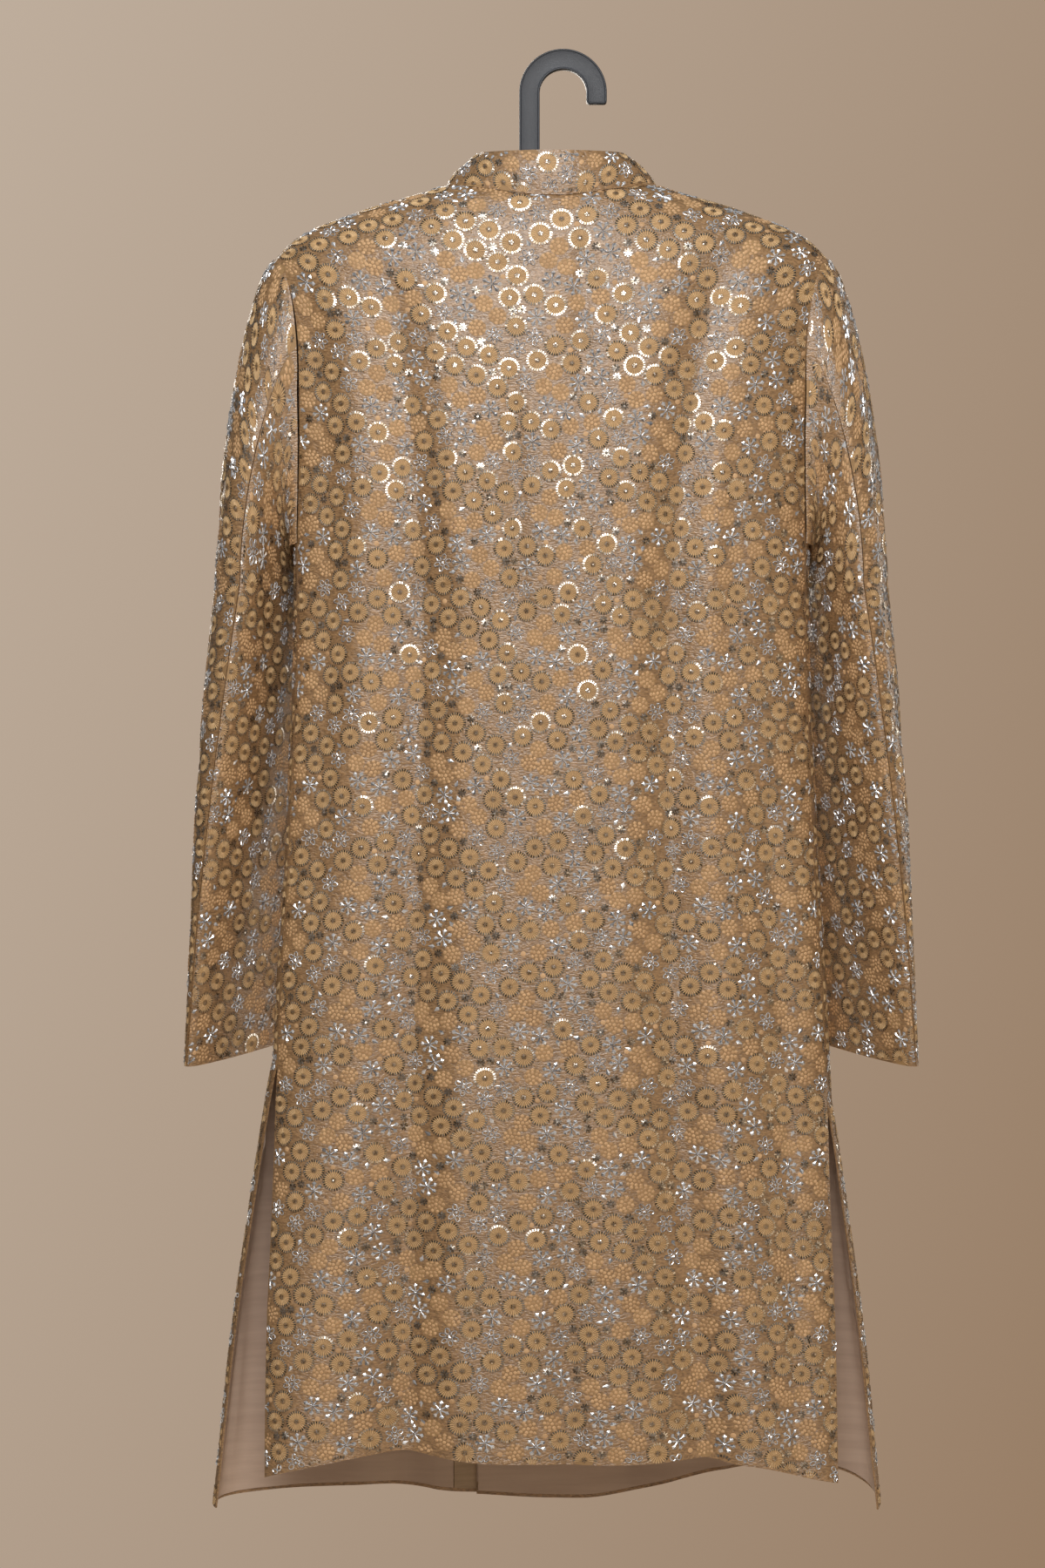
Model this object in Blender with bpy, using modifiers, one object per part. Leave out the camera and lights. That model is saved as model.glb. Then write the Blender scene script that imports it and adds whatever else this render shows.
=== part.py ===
# A sherwani coat on a plain suit hanger: band collar, whole back, two lapped fronts, two-piece
# sleeves and side slits. Metres, +Z up. The coat's back faces -Y and the wearer's right is +X.
# The origin is the inner crown of the hanger's hook, where the coat hangs from.

import math

import bmesh
import bpy
import numpy as np

# ---- Driving sizes, in metres --------------------------------------------------------------

COAT_CENTRE = -0.0095       # the coat hangs a little to one side of its hook
CLOTH = 0.0016              # embroidered cloth with its backing
LINING = 0.0010             # satin lining, raw-silk facing
COLLAR_WALL = 0.0024        # cloth over stiffening
SEAM = 0.0003               # space between neighbouring pieces

NECK_HALF = 0.085           # neck point, out from the centre
SHOULDER_HALF = 0.2225      # shoulder seam's outer end
SHOULDER_Z = -0.155
UNDERARM_Z = -0.385
NECK_BACK_DEPTH = 0.044     # plan depth of the back neckline
NECK_FRONT_DROP = 0.068     # fall of the front neckline below the neck point
BACK_ROUND = 0.070          # height over which the back rounds into the shoulder
FRONT_ROUND = 0.085
CORNER = 2.6                # squareness of the body's cross-section
SEAM_AT_SIDE = 0.30         # the side seam lies this share of the back's depth behind the side

SLIT_TOP = {-1: -0.806, 1: -0.840}      # side slits, by side
HEM_LEVEL = -1.15
LEFT_EDGE = 0.024           # how far past the centre front the left front reaches,
RIGHT_EDGE = 0.056          # and the right one, under it
FACING_EDGE = 0.074         # the left front's facing reaches this far from the centre front
FRONT_SPREAD = {-1: 0.041, 1: 0.034}    # how far each front swings out at the hem
FRONT_LIFT = 0.030                      # its slit edge comes forward of the seam line
BACK_SWING = 0.024                      # the back's slit edges swing back

COLLAR_TOP_HALF = 0.057
COLLAR_TOP_BACK = -0.041
COLLAR_TOP_FRONT = 0.058

BUTTON_COUNT = 8
BUTTON_RADIUS = 0.0075
BUTTON_HEIGHT = 0.0055
BUTTON_FIRST_Z = -0.190
BUTTON_LAST_Z = -0.690

HOOK_INNER = 0.0190
HOOK_WIDTH = 0.0167
HOOK_THICKNESS = 0.0080
HOOK_TIP_Z = -0.0282
STEM_END_Z = -0.1135


class Table:
    """A short table with named columns, read smoothly between its rows."""

    def __init__(self, columns, rows):
        rows = np.array(sorted(rows), float)
        self.key = rows[:, 0]
        self.columns = {name: rows[:, i] for i, name in enumerate(columns) if i}

    def read(self, column, at):
        """Cubic through the rows, flat beyond the first and the last."""
        key, value = self.key, self.columns[column]
        slope = np.gradient(value, key)
        at = np.clip(at, key[0], key[-1])
        i = np.clip(np.searchsorted(key, at) - 1, 0, len(key) - 2)
        step = key[i + 1] - key[i]
        t = (at - key[i]) / step
        rise = t * t * (3 - 2 * t)
        bend = t * (1 - t) * step * (slope[i] * (1 - t) - slope[i + 1] * t)
        return value[i] + (value[i + 1] - value[i]) * rise + bend


# The body's cross-section at each height: half the width, and the depth of back and front.
BODY = Table(
    ("z", "half_width", "back", "front"),
    [
        (-0.100, 0.238, 0.060, 0.058),
        (-0.155, 0.2355, 0.060, 0.062),
        (-0.210, 0.224, 0.065, 0.070),
        (-0.270, 0.215, 0.067, 0.076),
        (-0.385, 0.208, 0.065, 0.076),
        (-0.480, 0.2085, 0.060, 0.068),
        (-0.580, 0.2125, 0.056, 0.062),
        (-0.653, 0.216, 0.054, 0.059),
        (-0.724, 0.2207, 0.053, 0.057),
        (-0.806, 0.2248, 0.053, 0.055),
        (-0.937, 0.2293, 0.054, 0.054),
        (-1.008, 0.2323, 0.055, 0.054),
        (-1.170, 0.2340, 0.057, 0.055),
    ],
)

# The top line of the shoulders, with the line that it would follow across the neck.
RIDGE = Table(
    ("x", "z"),
    [
        (0.000, -0.0855),
        (0.050, -0.0885),
        (0.085, -0.0967),
        (0.110, -0.1045),
        (0.142, -0.1134),
        (0.165, -0.1215),
        (0.190, -0.1310),
        (0.210, -0.1425),
        (0.2225, -0.1550),
        (0.240, -0.1730),
    ],
)

# The back's armhole seam: its distance from the centre at each height.
ARMHOLE_BACK = Table(
    ("z", "x"),
    [
        (-0.385, 0.2045),
        (-0.335, 0.2035),
        (-0.300, 0.2030),
        (-0.265, 0.2038),
        (-0.220, 0.2055),
        (-0.192, 0.2095),
        (-0.168, 0.2160),
        (-0.155, 0.2225),
    ],
)

# The front's armhole seam: how far round from the side seam it lies at each height.
ARMHOLE_FRONT = Table(
    ("z", "round"),
    [
        (-0.385, 0.000),
        (-0.382, 0.016),
        (-0.374, 0.034),
        (-0.360, 0.050),
        (-0.335, 0.064),
        (-0.300, 0.0715),
        (-0.260, 0.0700),
        (-0.220, 0.0630),
        (-0.185, 0.0520),
        (-0.155, 0.0390),
    ],
)

# Hems, by the distance from the centre back (w) or from the centre front (q).
HEM_BACK = Table(
    ("w", "z"),
    [
        (-0.250, -1.148),
        (-0.200, -1.134),
        (-0.170, -1.127),
        (-0.138, -1.121),
        (-0.110, -1.118),
        (-0.086, -1.121),
        (-0.060, -1.125),
        (0.000, -1.1265),
        (0.067, -1.1265),
        (0.097, -1.1245),
        (0.119, -1.1235),
        (0.133, -1.1265),
        (0.156, -1.130),
        (0.186, -1.137),
        (0.250, -1.150),
    ],
)
HEM_FRONT = Table(
    ("q", "left", "right"),
    [
        (-0.060, -1.170, -1.170),
        (0.000, -1.171, -1.1735),
        (0.040, -1.170, -1.1725),
        (0.070, -1.168, -1.1655),
        (0.100, -1.163, -1.156),
        (0.135, -1.160, -1.1465),
        (0.170, -1.163, -1.143),
        (0.200, -1.167, -1.148),
        (0.235, -1.171, -1.164),
        (0.270, -1.176, -1.180),
    ],
)

# Drape folds: each is a trough that runs down the cloth. A row gives where it starts and ends
# (w is the distance round from the centre back), its depth there, and the width of its two banks.
FOLD_COLUMNS = (
    "w_top", "z_top", "w_low", "z_low", "deep_top", "deep_low", "bank_left", "bank_right",
)
FOLDS = [
    (-0.122, -0.150, -0.108, -0.420, 0.0040, 0.0125, 0.052, 0.034),
    (-0.108, -0.420, -0.107, -1.200, 0.0125, 0.0190, 0.056, 0.042),
    (0.126, -0.140, 0.100, -0.420, 0.0060, 0.0110, 0.040, 0.034),
    (0.100, -0.420, 0.093, -0.780, 0.0110, 0.0125, 0.044, 0.036),
    (0.093, -0.780, 0.118, -1.200, 0.0125, 0.0150, 0.046, 0.034),
    (-0.030, -0.240, -0.026, -0.480, 0.0030, 0.0030, 0.020, 0.014),
    (0.024, -0.120, 0.022, -0.300, 0.0028, 0.0028, 0.014, 0.016),
    (0.176, -0.560, 0.186, -1.200, 0.0050, 0.0090, 0.046, 0.034),
    (-0.186, -0.150, -0.190, -0.700, 0.0045, 0.0040, 0.030, 0.028),
    (0.012, -0.880, 0.014, -1.200, 0.0030, 0.0050, 0.024, 0.022),
    (0.330, -0.300, 0.352, -1.250, 0.0060, 0.0150, 0.050, 0.045),
    (0.396, -0.560, 0.390, -1.250, 0.0030, 0.0120, 0.036, 0.036),
    (-0.345, -0.260, -0.338, -1.250, 0.0070, 0.0130, 0.046, 0.050),
    (-0.402, -0.640, -0.396, -1.250, 0.0030, 0.0110, 0.036, 0.034),
]

# Sleeve sections by height: the hind edge and the fore edge of the flattened tube, how far it
# bulges outwards and inwards, and how much higher its fore edge lies.
SLEEVE_COLUMNS = ("z", "hind_x", "hind_y", "fore_x", "fore_y", "outer", "inner", "rise")
SLEEVE = Table(
    SLEEVE_COLUMNS,
    [
        (-0.803, 0.2965, 0.000, 0.2150, 0.118, 0.0130, 0.0115, 0.018),
        (-0.700, 0.2870, -0.020, 0.2110, 0.118, 0.0230, 0.0140, 0.012),
        (-0.600, 0.2755, -0.033, 0.2080, 0.118, 0.0340, 0.0170, 0.006),
        (-0.500, 0.2620, -0.041, 0.2060, 0.116, 0.0390, 0.0170, 0.002),
        (-0.420, 0.2500, -0.045, 0.2050, 0.115, 0.0400, 0.0155, 0.000),
    ],
)
SLEEVE_TOP_Z = -0.420
CUFF_Z = -0.803
FORE_SEAM = 0.35            # angle past the fore edge, on the under side
SEAM_ANGLE = 0.004          # half of the space at the sleeve's seams, as an angle


# ---- The body's form -----------------------------------------------------------------------

def unit_section():
    """One half of the body's section, from the centre back round the side to the centre front:
    distance round, shares of half width and depth, and the outward direction."""
    angle = np.linspace(0, math.pi, 3601)
    across = np.sin(angle) ** (2 / CORNER)
    across[-1] = 0
    deep = -np.sign(np.cos(angle)) * np.abs(np.cos(angle)) ** (2 / CORNER)
    half_width, back, front = 0.213, 0.062, 0.068
    x = half_width * across
    y = np.where(deep < 0, back, front) * deep
    distance = np.concatenate([[0], np.cumsum(np.hypot(np.diff(x), np.diff(y)))])
    out_x = across ** (CORNER - 1) / half_width
    out_y = np.sign(deep) * np.abs(deep) ** (CORNER - 1) / np.where(deep < 0, back, front)
    length = np.hypot(out_x, out_y)
    return distance, across, deep, out_x / length, out_y / length


ROUND, ACROSS, DEEP, OUT_X, OUT_Y = unit_section()
GIRTH = float(ROUND[-1])
HALF_WAY = int(np.searchsorted(DEEP, 0.0))
SEAM_W = float(np.interp(-SEAM_AT_SIDE, DEEP, ROUND))


def smooth(low, high, at):
    """0 below low, 1 above high, eased between."""
    t = np.clip((at - low) / (high - low), 0, 1)
    return t * t * (3 - 2 * t)


def fold_depth(w, z):
    """How far the drape folds sink the cloth at a place on it."""
    total = np.zeros(np.broadcast(w, z).shape)
    for row in FOLDS:
        fold = dict(zip(FOLD_COLUMNS, row))
        along = (fold["z_top"] - z) / (fold["z_top"] - fold["z_low"])
        middle = fold["w_top"] + (fold["w_low"] - fold["w_top"]) * along
        depth = fold["deep_top"] + (fold["deep_low"] - fold["deep_top"]) * along
        fade = 0.05 / (fold["z_top"] - fold["z_low"])
        joined = 0.002 / (fold["z_top"] - fold["z_low"])
        starts = any(row[0] == other[2] and row[1] == other[3] for other in FOLDS)
        ends = any(row[2] == other[0] and row[3] == other[1] for other in FOLDS)
        inside = (along >= 0) if starts else smooth(0, fade, along)
        inside = inside * ((along < 1) if ends else smooth(1 + joined, 1 - fade, along))
        bank = np.where(w < middle, fold["bank_left"], fold["bank_right"])
        across = np.clip(np.abs(w - middle) / bank, 0, 1)
        total += depth * inside * (1 - across) ** 2 * (1 + 1.2 * across)
    return total


def body(w, z, panel, sunk=0.0):
    """Points on the body's cloth: w is the distance round from the centre back, negative on the
    wearer's left, z the height. panel is "back" or "front", which part below the slits."""
    w, z = np.broadcast_arrays(np.asarray(w, float), np.asarray(z, float))
    side = np.where(w < 0, -1.0, 1.0)
    far = np.abs(w)
    across, deep = np.interp(far, ROUND, ACROSS), np.interp(far, ROUND, DEEP)
    x = BODY.read("half_width", z) * across
    behind = deep < 0
    y = np.where(behind, BODY.read("back", z), BODY.read("front", z)) * deep
    round_off = np.where(behind, BACK_ROUND, FRONT_ROUND)
    drop = np.clip((RIDGE.read("z", x) - z) / round_off, 0, 1)
    shoulder = np.sqrt(1 - (1 - drop) ** 2)
    sink = fold_depth(w, z) * smooth(0.1, 0.9, shoulder) + sunk
    x = x - sink * np.interp(far, ROUND, OUT_X) * shoulder
    y = y * shoulder - sink * np.interp(far, ROUND, OUT_Y) * shoulder
    slit = np.where(side < 0, SLIT_TOP[-1], SLIT_TOP[1])
    open_share = np.clip((slit - z) / (slit - HEM_LEVEL), 0, 1.2)
    if panel == "back":
        y = y - BACK_SWING * open_share * smooth(0.10, SEAM_W, far)
    else:
        spread = np.where(side < 0, FRONT_SPREAD[-1], FRONT_SPREAD[1])
        near_slit = smooth(GIRTH - 0.12, SEAM_W, far)
        x = x + spread * open_share ** 0.85 * near_slit
        y = y + FRONT_LIFT * open_share ** 0.85 * near_slit
    return np.stack([side * x, y, z], axis=-1)


def outward(w, z, panel, sunk=0.0):
    """The cloth's outward direction there, from its two slopes."""
    step = 0.0004
    round_it = body(w + step, z, panel, sunk) - body(w - step, z, panel, sunk)
    down_it = body(w, z - step, panel, sunk) - body(w, z + step, panel, sunk)
    normal = np.cross(down_it, round_it)
    return normal / np.linalg.norm(normal, axis=-1, keepdims=True)


def round_at(x, z, front=False):
    """The distance round from the centre back at which the body is x wide at height z."""
    share = np.clip(x / BODY.read("half_width", z), 0, 1)
    if front:
        return np.interp(-share, -ACROSS[HALF_WAY:], ROUND[HALF_WAY:])
    return np.interp(share, ACROSS[: HALF_WAY + 1], ROUND[: HALF_WAY + 1])


def back_armhole(z):
    return round_at(ARMHOLE_BACK.read("x", z), z)


def front_armhole(z):
    """Its lower end meets the side seam, and its upper end the shoulder's end."""
    tip = round_at(SHOULDER_HALF, SHOULDER_Z, front=True)
    lower = SEAM_W + ARMHOLE_FRONT.read("round", z)
    near_tip = smooth(-0.200, SHOULDER_Z, z)
    return lower + (tip - lower) * near_tip


def neckline_back(x):
    """Height of the back neckline: an ellipse in plan, laid on the body's form."""
    plan = NECK_BACK_DEPTH * np.sqrt(np.clip(1 - (x / NECK_HALF) ** 2, 0, 1))
    ridge = RIDGE.read("z", x)
    full = BODY.read("back", ridge) * (1 - (x / 0.23) ** CORNER) ** (1 / CORNER)
    return ridge - BACK_ROUND * (1 - np.sqrt(1 - (plan / full) ** 2))


def neckline_front(x):
    return RIDGE.read("z", NECK_HALF) - NECK_FRONT_DROP * np.clip(1 - (x / NECK_HALF) ** 2, 0, 1) ** 0.8


def top_edge(places, front):
    """Height of a panel's top edge: the neckline, then the shoulder line. places are distances
    from the centre back, or from the centre front."""
    far = GIRTH - np.abs(places) if front else np.abs(places)
    z = np.full(np.shape(places), -0.11)
    for _ in range(12):
        x = BODY.read("half_width", z) * np.interp(far, ROUND, ACROSS)
        neck = neckline_front(x) if front else neckline_back(x)
        z = np.where(x < NECK_HALF, neck, RIDGE.read("z", x))
    return z


# ---- Mesh makers ---------------------------------------------------------------------------

COLLECTION = "sherwani_coat_on_hanger"


def clear_scene():
    for obj in list(bpy.data.objects):
        bpy.data.objects.remove(obj, do_unlink=True)


def finish_material(name, colour, roughness, metallic=0.0, sheen=0.0):
    material = bpy.data.materials.new(name)
    material.use_nodes = True
    shader = material.node_tree.nodes["Principled BSDF"]
    shader.inputs["Base Color"].default_value = (*colour, 1)
    shader.inputs["Roughness"].default_value = roughness
    shader.inputs["Metallic"].default_value = metallic
    shader.inputs["Sheen Weight"].default_value = sheen
    return material


def add_object(name, data, material, centre=COAT_CENTRE):
    obj = bpy.data.objects.new(name, data)
    obj.location.x = centre
    data.materials.append(material)
    bpy.data.collections[COLLECTION].objects.link(obj)
    return obj


def grid_mesh(name, points, closed_round=False):
    """A sheet of quads through rows of points."""
    rows, columns = points.shape[:2]
    last = columns if closed_round else columns - 1
    faces = []
    for r in range(rows - 1):
        for c in range(last):
            d = (c + 1) % columns
            faces.append((r * columns + c, r * columns + d, (r + 1) * columns + d, (r + 1) * columns + c))
    mesh = bpy.data.meshes.new(name)
    mesh.from_pydata([tuple(p) for p in points.reshape(-1, 3)], [], faces)
    mesh.shade_smooth()
    return mesh


def add_cloth(name, points, thickness, material):
    """A cloth wall: the sheet through the points is its wrong side, and Solidify adds outwards.
    Rows run down the piece and columns run clockwise seen from above."""
    obj = add_object(name, grid_mesh(name, points), material)
    wall = obj.modifiers.new("wall", "SOLIDIFY")
    wall.thickness = thickness
    wall.offset = 1
    return obj


def add_loft(name, rings, material, centre=COAT_CENTRE):
    """A closed body through rings, with its ends filled."""
    mesh = grid_mesh(name, rings, closed_round=True)
    count = rings.shape[1]
    shape = bmesh.new()
    shape.from_mesh(mesh)
    shape.verts.ensure_lookup_table()
    shape.faces.new([shape.verts[i] for i in range(count)])
    shape.faces.new([shape.verts[len(shape.verts) - 1 - i] for i in range(count)])
    bmesh.ops.recalc_face_normals(shape, faces=shape.faces)
    shape.to_mesh(mesh)
    shape.free()
    return add_object(name, mesh, material, centre)


# ---- Body panels ---------------------------------------------------------------------------

# Shares of the height between the top edge and the underarm level, close where the cloth rounds.
UPPER_ROWS = (0.0, 0.008, 0.035, 0.10, 0.20, 0.33, 0.48, 0.63, 0.77, 0.88, 0.955, 1.0)
BACK_COLUMNS = 24
LOWER_ROWS = 13
FRONT_COLUMNS = 10          # beyond the lapped ones
LINED_ROWS = 6              # rows of the front's skirt that the lining covers
HEM_TURNING = 0.2           # cloth turned in at the hem and the slits, as shares of a cell
SLIT_TURNING = 0.3


def rows_of(places_at, front, hem):
    """The rows of a panel, as distances round and heights. places_at gives a row's distances from
    its level, and hem the height of the lower edge at a distance."""
    top = top_edge(places_at(SHOULDER_Z), front)
    places, heights = [], []
    for share in UPPER_ROWS:
        places.append(places_at(SHOULDER_Z + (UNDERARM_Z - SHOULDER_Z) * share))
        heights.append(top + (UNDERARM_Z - top) * share)
    for share in np.linspace(0, 1, LOWER_ROWS + 1)[1:]:
        places.append(places_at(UNDERARM_Z + (HEM_LEVEL - UNDERARM_Z) * share))
        heights.append(UNDERARM_Z + (hem(places[-1]) - UNDERARM_Z) * share)
    return np.array(places), np.array(heights)


def part_shoulders(points, toward):
    """Draws the shoulder edge back by half a seam space."""
    beyond_neck = np.abs(points[0, :, 0]) > NECK_HALF
    points[0, beyond_neck, 1] += toward * SEAM / 2
    return points


def back_sheet():
    def places_at(level):
        edge = back_armhole(level) if level > UNDERARM_Z else SEAM_W
        return np.linspace(-1, 1, BACK_COLUMNS + 1) * (edge - SEAM / 2)

    w, z = rows_of(places_at, False, lambda w: HEM_BACK.read("z", w))
    return part_shoulders(body(w, z, "back"), -1)


LAYER = CLOTH + LINING + 2 * SEAM + 0.0002     # how deep the right front lies under the left

# Columns of each front near its free edge, as distances from the centre front. Where the fronts
# lap they share their columns, so that the layers stay evenly apart.
LAPPED_COLUMNS = {
    -1: (-LEFT_EDGE, 0.0, LEFT_EDGE, RIGHT_EDGE, FACING_EDGE),
    1: (-RIGHT_EDGE, -LEFT_EDGE, 0.0, LEFT_EDGE, 0.046),
}


def front_sheet(side):
    name = "left" if side < 0 else "right"
    lapped = np.array(LAPPED_COLUMNS[side])
    share = np.linspace(0, 1, FRONT_COLUMNS + 1)[1:]

    def places_at(level):
        edge = front_armhole(level) if level > UNDERARM_Z else SEAM_W
        end = GIRTH - edge - SEAM / 2
        return np.concatenate([lapped, lapped[-1] + (end - lapped[-1]) * share])

    q, z = rows_of(places_at, True, lambda q: HEM_FRONT.read(name, q))
    w = np.where(q < 0, -side, side) * (GIRTH - np.abs(q))
    under = smooth(0.046, LEFT_EDGE, q) if side > 0 else np.zeros(q.shape)
    points = part_shoulders(body(w, z, "front", LAYER * under), 1)
    return points if side > 0 else points[:, ::-1]


def vertex_normals(points):
    """Outward directions at the points of a sheet laid out as for add_cloth."""
    across, down = np.gradient(points, axis=1), np.gradient(points, axis=0)
    normal = np.cross(across, down)
    return normal / np.linalg.norm(normal, axis=-1, keepdims=True)


def stretch_of(points, first, last):
    """The rows of a sheet from one fractional row number to another, cut on its own facets."""
    whole = np.arange(math.floor(first) + 1, math.ceil(last))
    at = np.concatenate([[first], whole, [last]])
    low = np.clip(np.floor(at).astype(int), 0, len(points) - 2)
    part = (at - low)[:, None, None]
    return points[low] * (1 - part) + points[low + 1] * part


def inside_of(sheet, rows, columns, depth):
    """What lies on the wrong side of a sheet, made from the sheet's own points moved in."""
    moved = sheet - depth * vertex_normals(sheet)
    moved = stretch_of(moved, *rows)
    return stretch_of(moved.transpose(1, 0, 2), *columns).transpose(1, 0, 2)


def add_body_panels(cloth, satin, silk):
    add_cloth("back", back_sheet()[:, ::-1], CLOTH, cloth)
    left, right = front_sheet(-1), front_sheet(1)
    add_cloth("front_left", left, CLOTH, cloth)
    add_cloth("front_right", right, CLOTH, cloth)
    depth = LINING + SEAM
    last_row, last_column = len(left) - 1, left.shape[1] - 1
    skirt = (last_row - LINED_ROWS, last_row - HEM_TURNING)
    facing_column = last_column - len(LAPPED_COLUMNS[-1]) + 1
    left_lining = inside_of(left, skirt, (SLIT_TURNING, facing_column - 0.02), depth)
    add_cloth("lining_left", left_lining, LINING, satin)
    facing = inside_of(left, skirt, (facing_column, last_column - 0.15), depth)
    add_cloth("facing_left", facing, LINING, silk)
    right_lining = inside_of(right, skirt, (0.08, last_column - SLIT_TURNING), depth)
    add_cloth("lining_right", right_lining, LINING, satin)


# ---- Collar --------------------------------------------------------------------------------

COLLAR_COLUMNS = 28
COLLAR_ROWS = 3


def neck_seam(samples=400):
    """Points on the neckline from the left front end, round the back, to the right front end."""
    x = NECK_HALF * np.sin(np.linspace(0, math.pi / 2, samples))
    front_z = neckline_front(x)
    front = body(round_at(x, front_z, front=True), front_z, "front")
    back_z = neckline_back(x)
    back = body(round_at(x, back_z), back_z, "back")
    right = np.concatenate([front, back[::-1][1:]])
    return np.concatenate([right * np.array([-1, 1, 1]), right[::-1][1:]])


def collar_sheet():
    seam = neck_seam()
    distance = np.concatenate([[0], np.cumsum(np.linalg.norm(np.diff(seam, axis=0), axis=1))])
    at = np.linspace(0.0012, distance[-1] - 0.0012, COLLAR_COLUMNS + 1)
    foot = np.stack([np.interp(at, distance, seam[:, i]) for i in range(3)], axis=-1)
    turn = np.arctan2(foot[:, 0] / NECK_HALF, -foot[:, 1] / 0.060)
    depth = np.where(np.cos(turn) > 0, -COLLAR_TOP_BACK, COLLAR_TOP_FRONT)
    top_x = COLLAR_TOP_HALF * np.sin(turn)
    top_y = -depth * np.cos(turn)
    top_x = np.where(np.abs(np.sin(turn)) < 1e-9, foot[:, 0], top_x)
    forward = smooth(-0.005, COLLAR_TOP_FRONT, top_y)
    back_share = smooth(0.02, COLLAR_TOP_BACK, top_y)
    top_z = -0.069 - 0.004 * back_share - (0.128 - 0.069) * forward
    top = np.stack([top_x, top_y, top_z], axis=-1)
    up = top - foot
    up /= np.linalg.norm(up, axis=1, keepdims=True)
    foot = foot + up * (CLOTH + 2 * SEAM + 0.0008)
    rows = []
    for share in np.linspace(0, 1, COLLAR_ROWS + 1):
        swell = 0.0025 * math.sin(math.pi * share)
        out = np.stack([np.sin(turn), -np.cos(turn), np.full(len(turn), 0.4)], axis=-1)
        rows.append(top * (1 - share) + foot * share + out * swell)
    return np.array(rows)


def add_collar(cloth):
    add_cloth("collar", collar_sheet()[:, ::-1], COLLAR_WALL, cloth)


# ---- Sleeves -------------------------------------------------------------------------------

# The columns of the two sleeve pieces start from these points of the armhole. They are counted
# from the underarm up the back, over the shoulder and down the front, and on into a second lap.
UPPER_STATIONS = (6, 7, 8, 9, 11, 13, 14, 15, 16, 17, 18, 19)
UNDER_STATIONS = (19, 20, 21, 22, 26, 28, 29)
CAP_ROWS = 7
ARM_ROWS = 10


def armhole_loop():
    """The armhole along the panels' own edges: its points, and the cloth's outward direction."""
    back, front = back_sheet()[:, ::-1], front_sheet(1)
    rows = len(UPPER_ROWS)
    points = np.concatenate([back[:rows, 0][::-1], front[1:rows, -1]])
    normals = np.concatenate([vertex_normals(back)[:rows, 0][::-1], vertex_normals(front)[1:rows, -1]])
    return points, normals


def sleeve_section(angle, z):
    """A point on the sleeve: angle 0 is its hind edge, pi its fore edge, by way of the outer side."""
    read = {name: SLEEVE.read(name, z) for name in SLEEVE_COLUMNS[1:]}
    middle = np.stack([(read["hind_x"] + read["fore_x"]) / 2, (read["hind_y"] + read["fore_y"]) / 2], -1)
    reach = np.stack([(read["hind_x"] - read["fore_x"]) / 2, (read["hind_y"] - read["fore_y"]) / 2], -1)
    across = np.stack([-reach[..., 1], reach[..., 0]], -1) / np.linalg.norm(reach, axis=-1, keepdims=True)
    bulge = np.where(np.sin(angle) > 0, read["outer"], read["inner"]) * np.sin(angle)
    place = middle + reach * np.cos(angle)[..., None] + across * bulge[..., None]
    height = z - read["rise"] * np.cos(angle) / 2
    return np.concatenate([place, height[..., None]], axis=-1)


def sleeve_sheet(stations, angle_low, angle_high):
    """The rows of one sleeve piece, for the right side."""
    points, normals = armhole_loop()
    steps = np.linalg.norm(np.diff(points, axis=0), axis=1)
    distance = np.concatenate([[0], np.cumsum(steps)])
    laps, station = np.divmod(stations, len(points))
    at = distance[station] + laps * distance[-1]
    angle = angle_low + (angle_high - angle_low) * (at - at[0]) / (at[-1] - at[0])
    at[[0, -1]] += [SEAM / 2, -SEAM / 2]
    at %= distance[-1]
    start = np.stack([np.interp(at, distance, points[:, i]) for i in range(3)], axis=-1)
    facing = np.stack([np.interp(at, distance, normals[:, i]) for i in range(3)], axis=-1)
    end = sleeve_section(angle, np.full(len(at), SLEEVE_TOP_Z))
    drop = (start[:, 2] - end[:, 2])[:, None]
    out = np.array([[1.0, 0.0, -0.28]]) / math.hypot(1.0, 0.28)
    folded = smooth(-0.170, -0.290, start[:, 2:])   # lower down the sleeve folds over the seam
    clear = SEAM + CLOTH * (np.clip((facing * out).sum(axis=1, keepdims=True), 0, 1) + 1.15 * folded)
    start = start + out * clear
    first = start + out * (0.006 + 0.05 * drop)
    second = end + np.array([[0.0, 0.0, 1.0]]) * (0.006 + 0.40 * drop)
    rows = []
    for t in np.linspace(0, 1, CAP_ROWS + 1):
        row = start * (1 - t) ** 3 + first * 3 * t * (1 - t) ** 2
        rows.append(row + second * 3 * t * t * (1 - t) + end * t ** 3)
    for z in np.linspace(SLEEVE_TOP_Z, CUFF_Z, ARM_ROWS + 1)[1:]:
        rows.append(sleeve_section(angle, np.full(len(at), z)))
    return np.array(rows)


def add_sleeves(cloth):
    seam_angle = math.pi + FORE_SEAM
    upper = sleeve_sheet(UPPER_STATIONS, SEAM_ANGLE, seam_angle - SEAM_ANGLE)
    under = sleeve_sheet(UNDER_STATIONS, seam_angle + SEAM_ANGLE, 2 * math.pi - SEAM_ANGLE)
    for side, name in ((-1, "left"), (1, "right")):
        for piece, sheet in (("upper", upper), ("under", under)):
            points = sheet * np.array([side, 1, 1])
            points = points if side < 0 else points[:, ::-1]
            add_cloth(f"sleeve_{name}_{piece}", points, CLOTH, cloth)


# ---- Buttons -------------------------------------------------------------------------------

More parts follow.
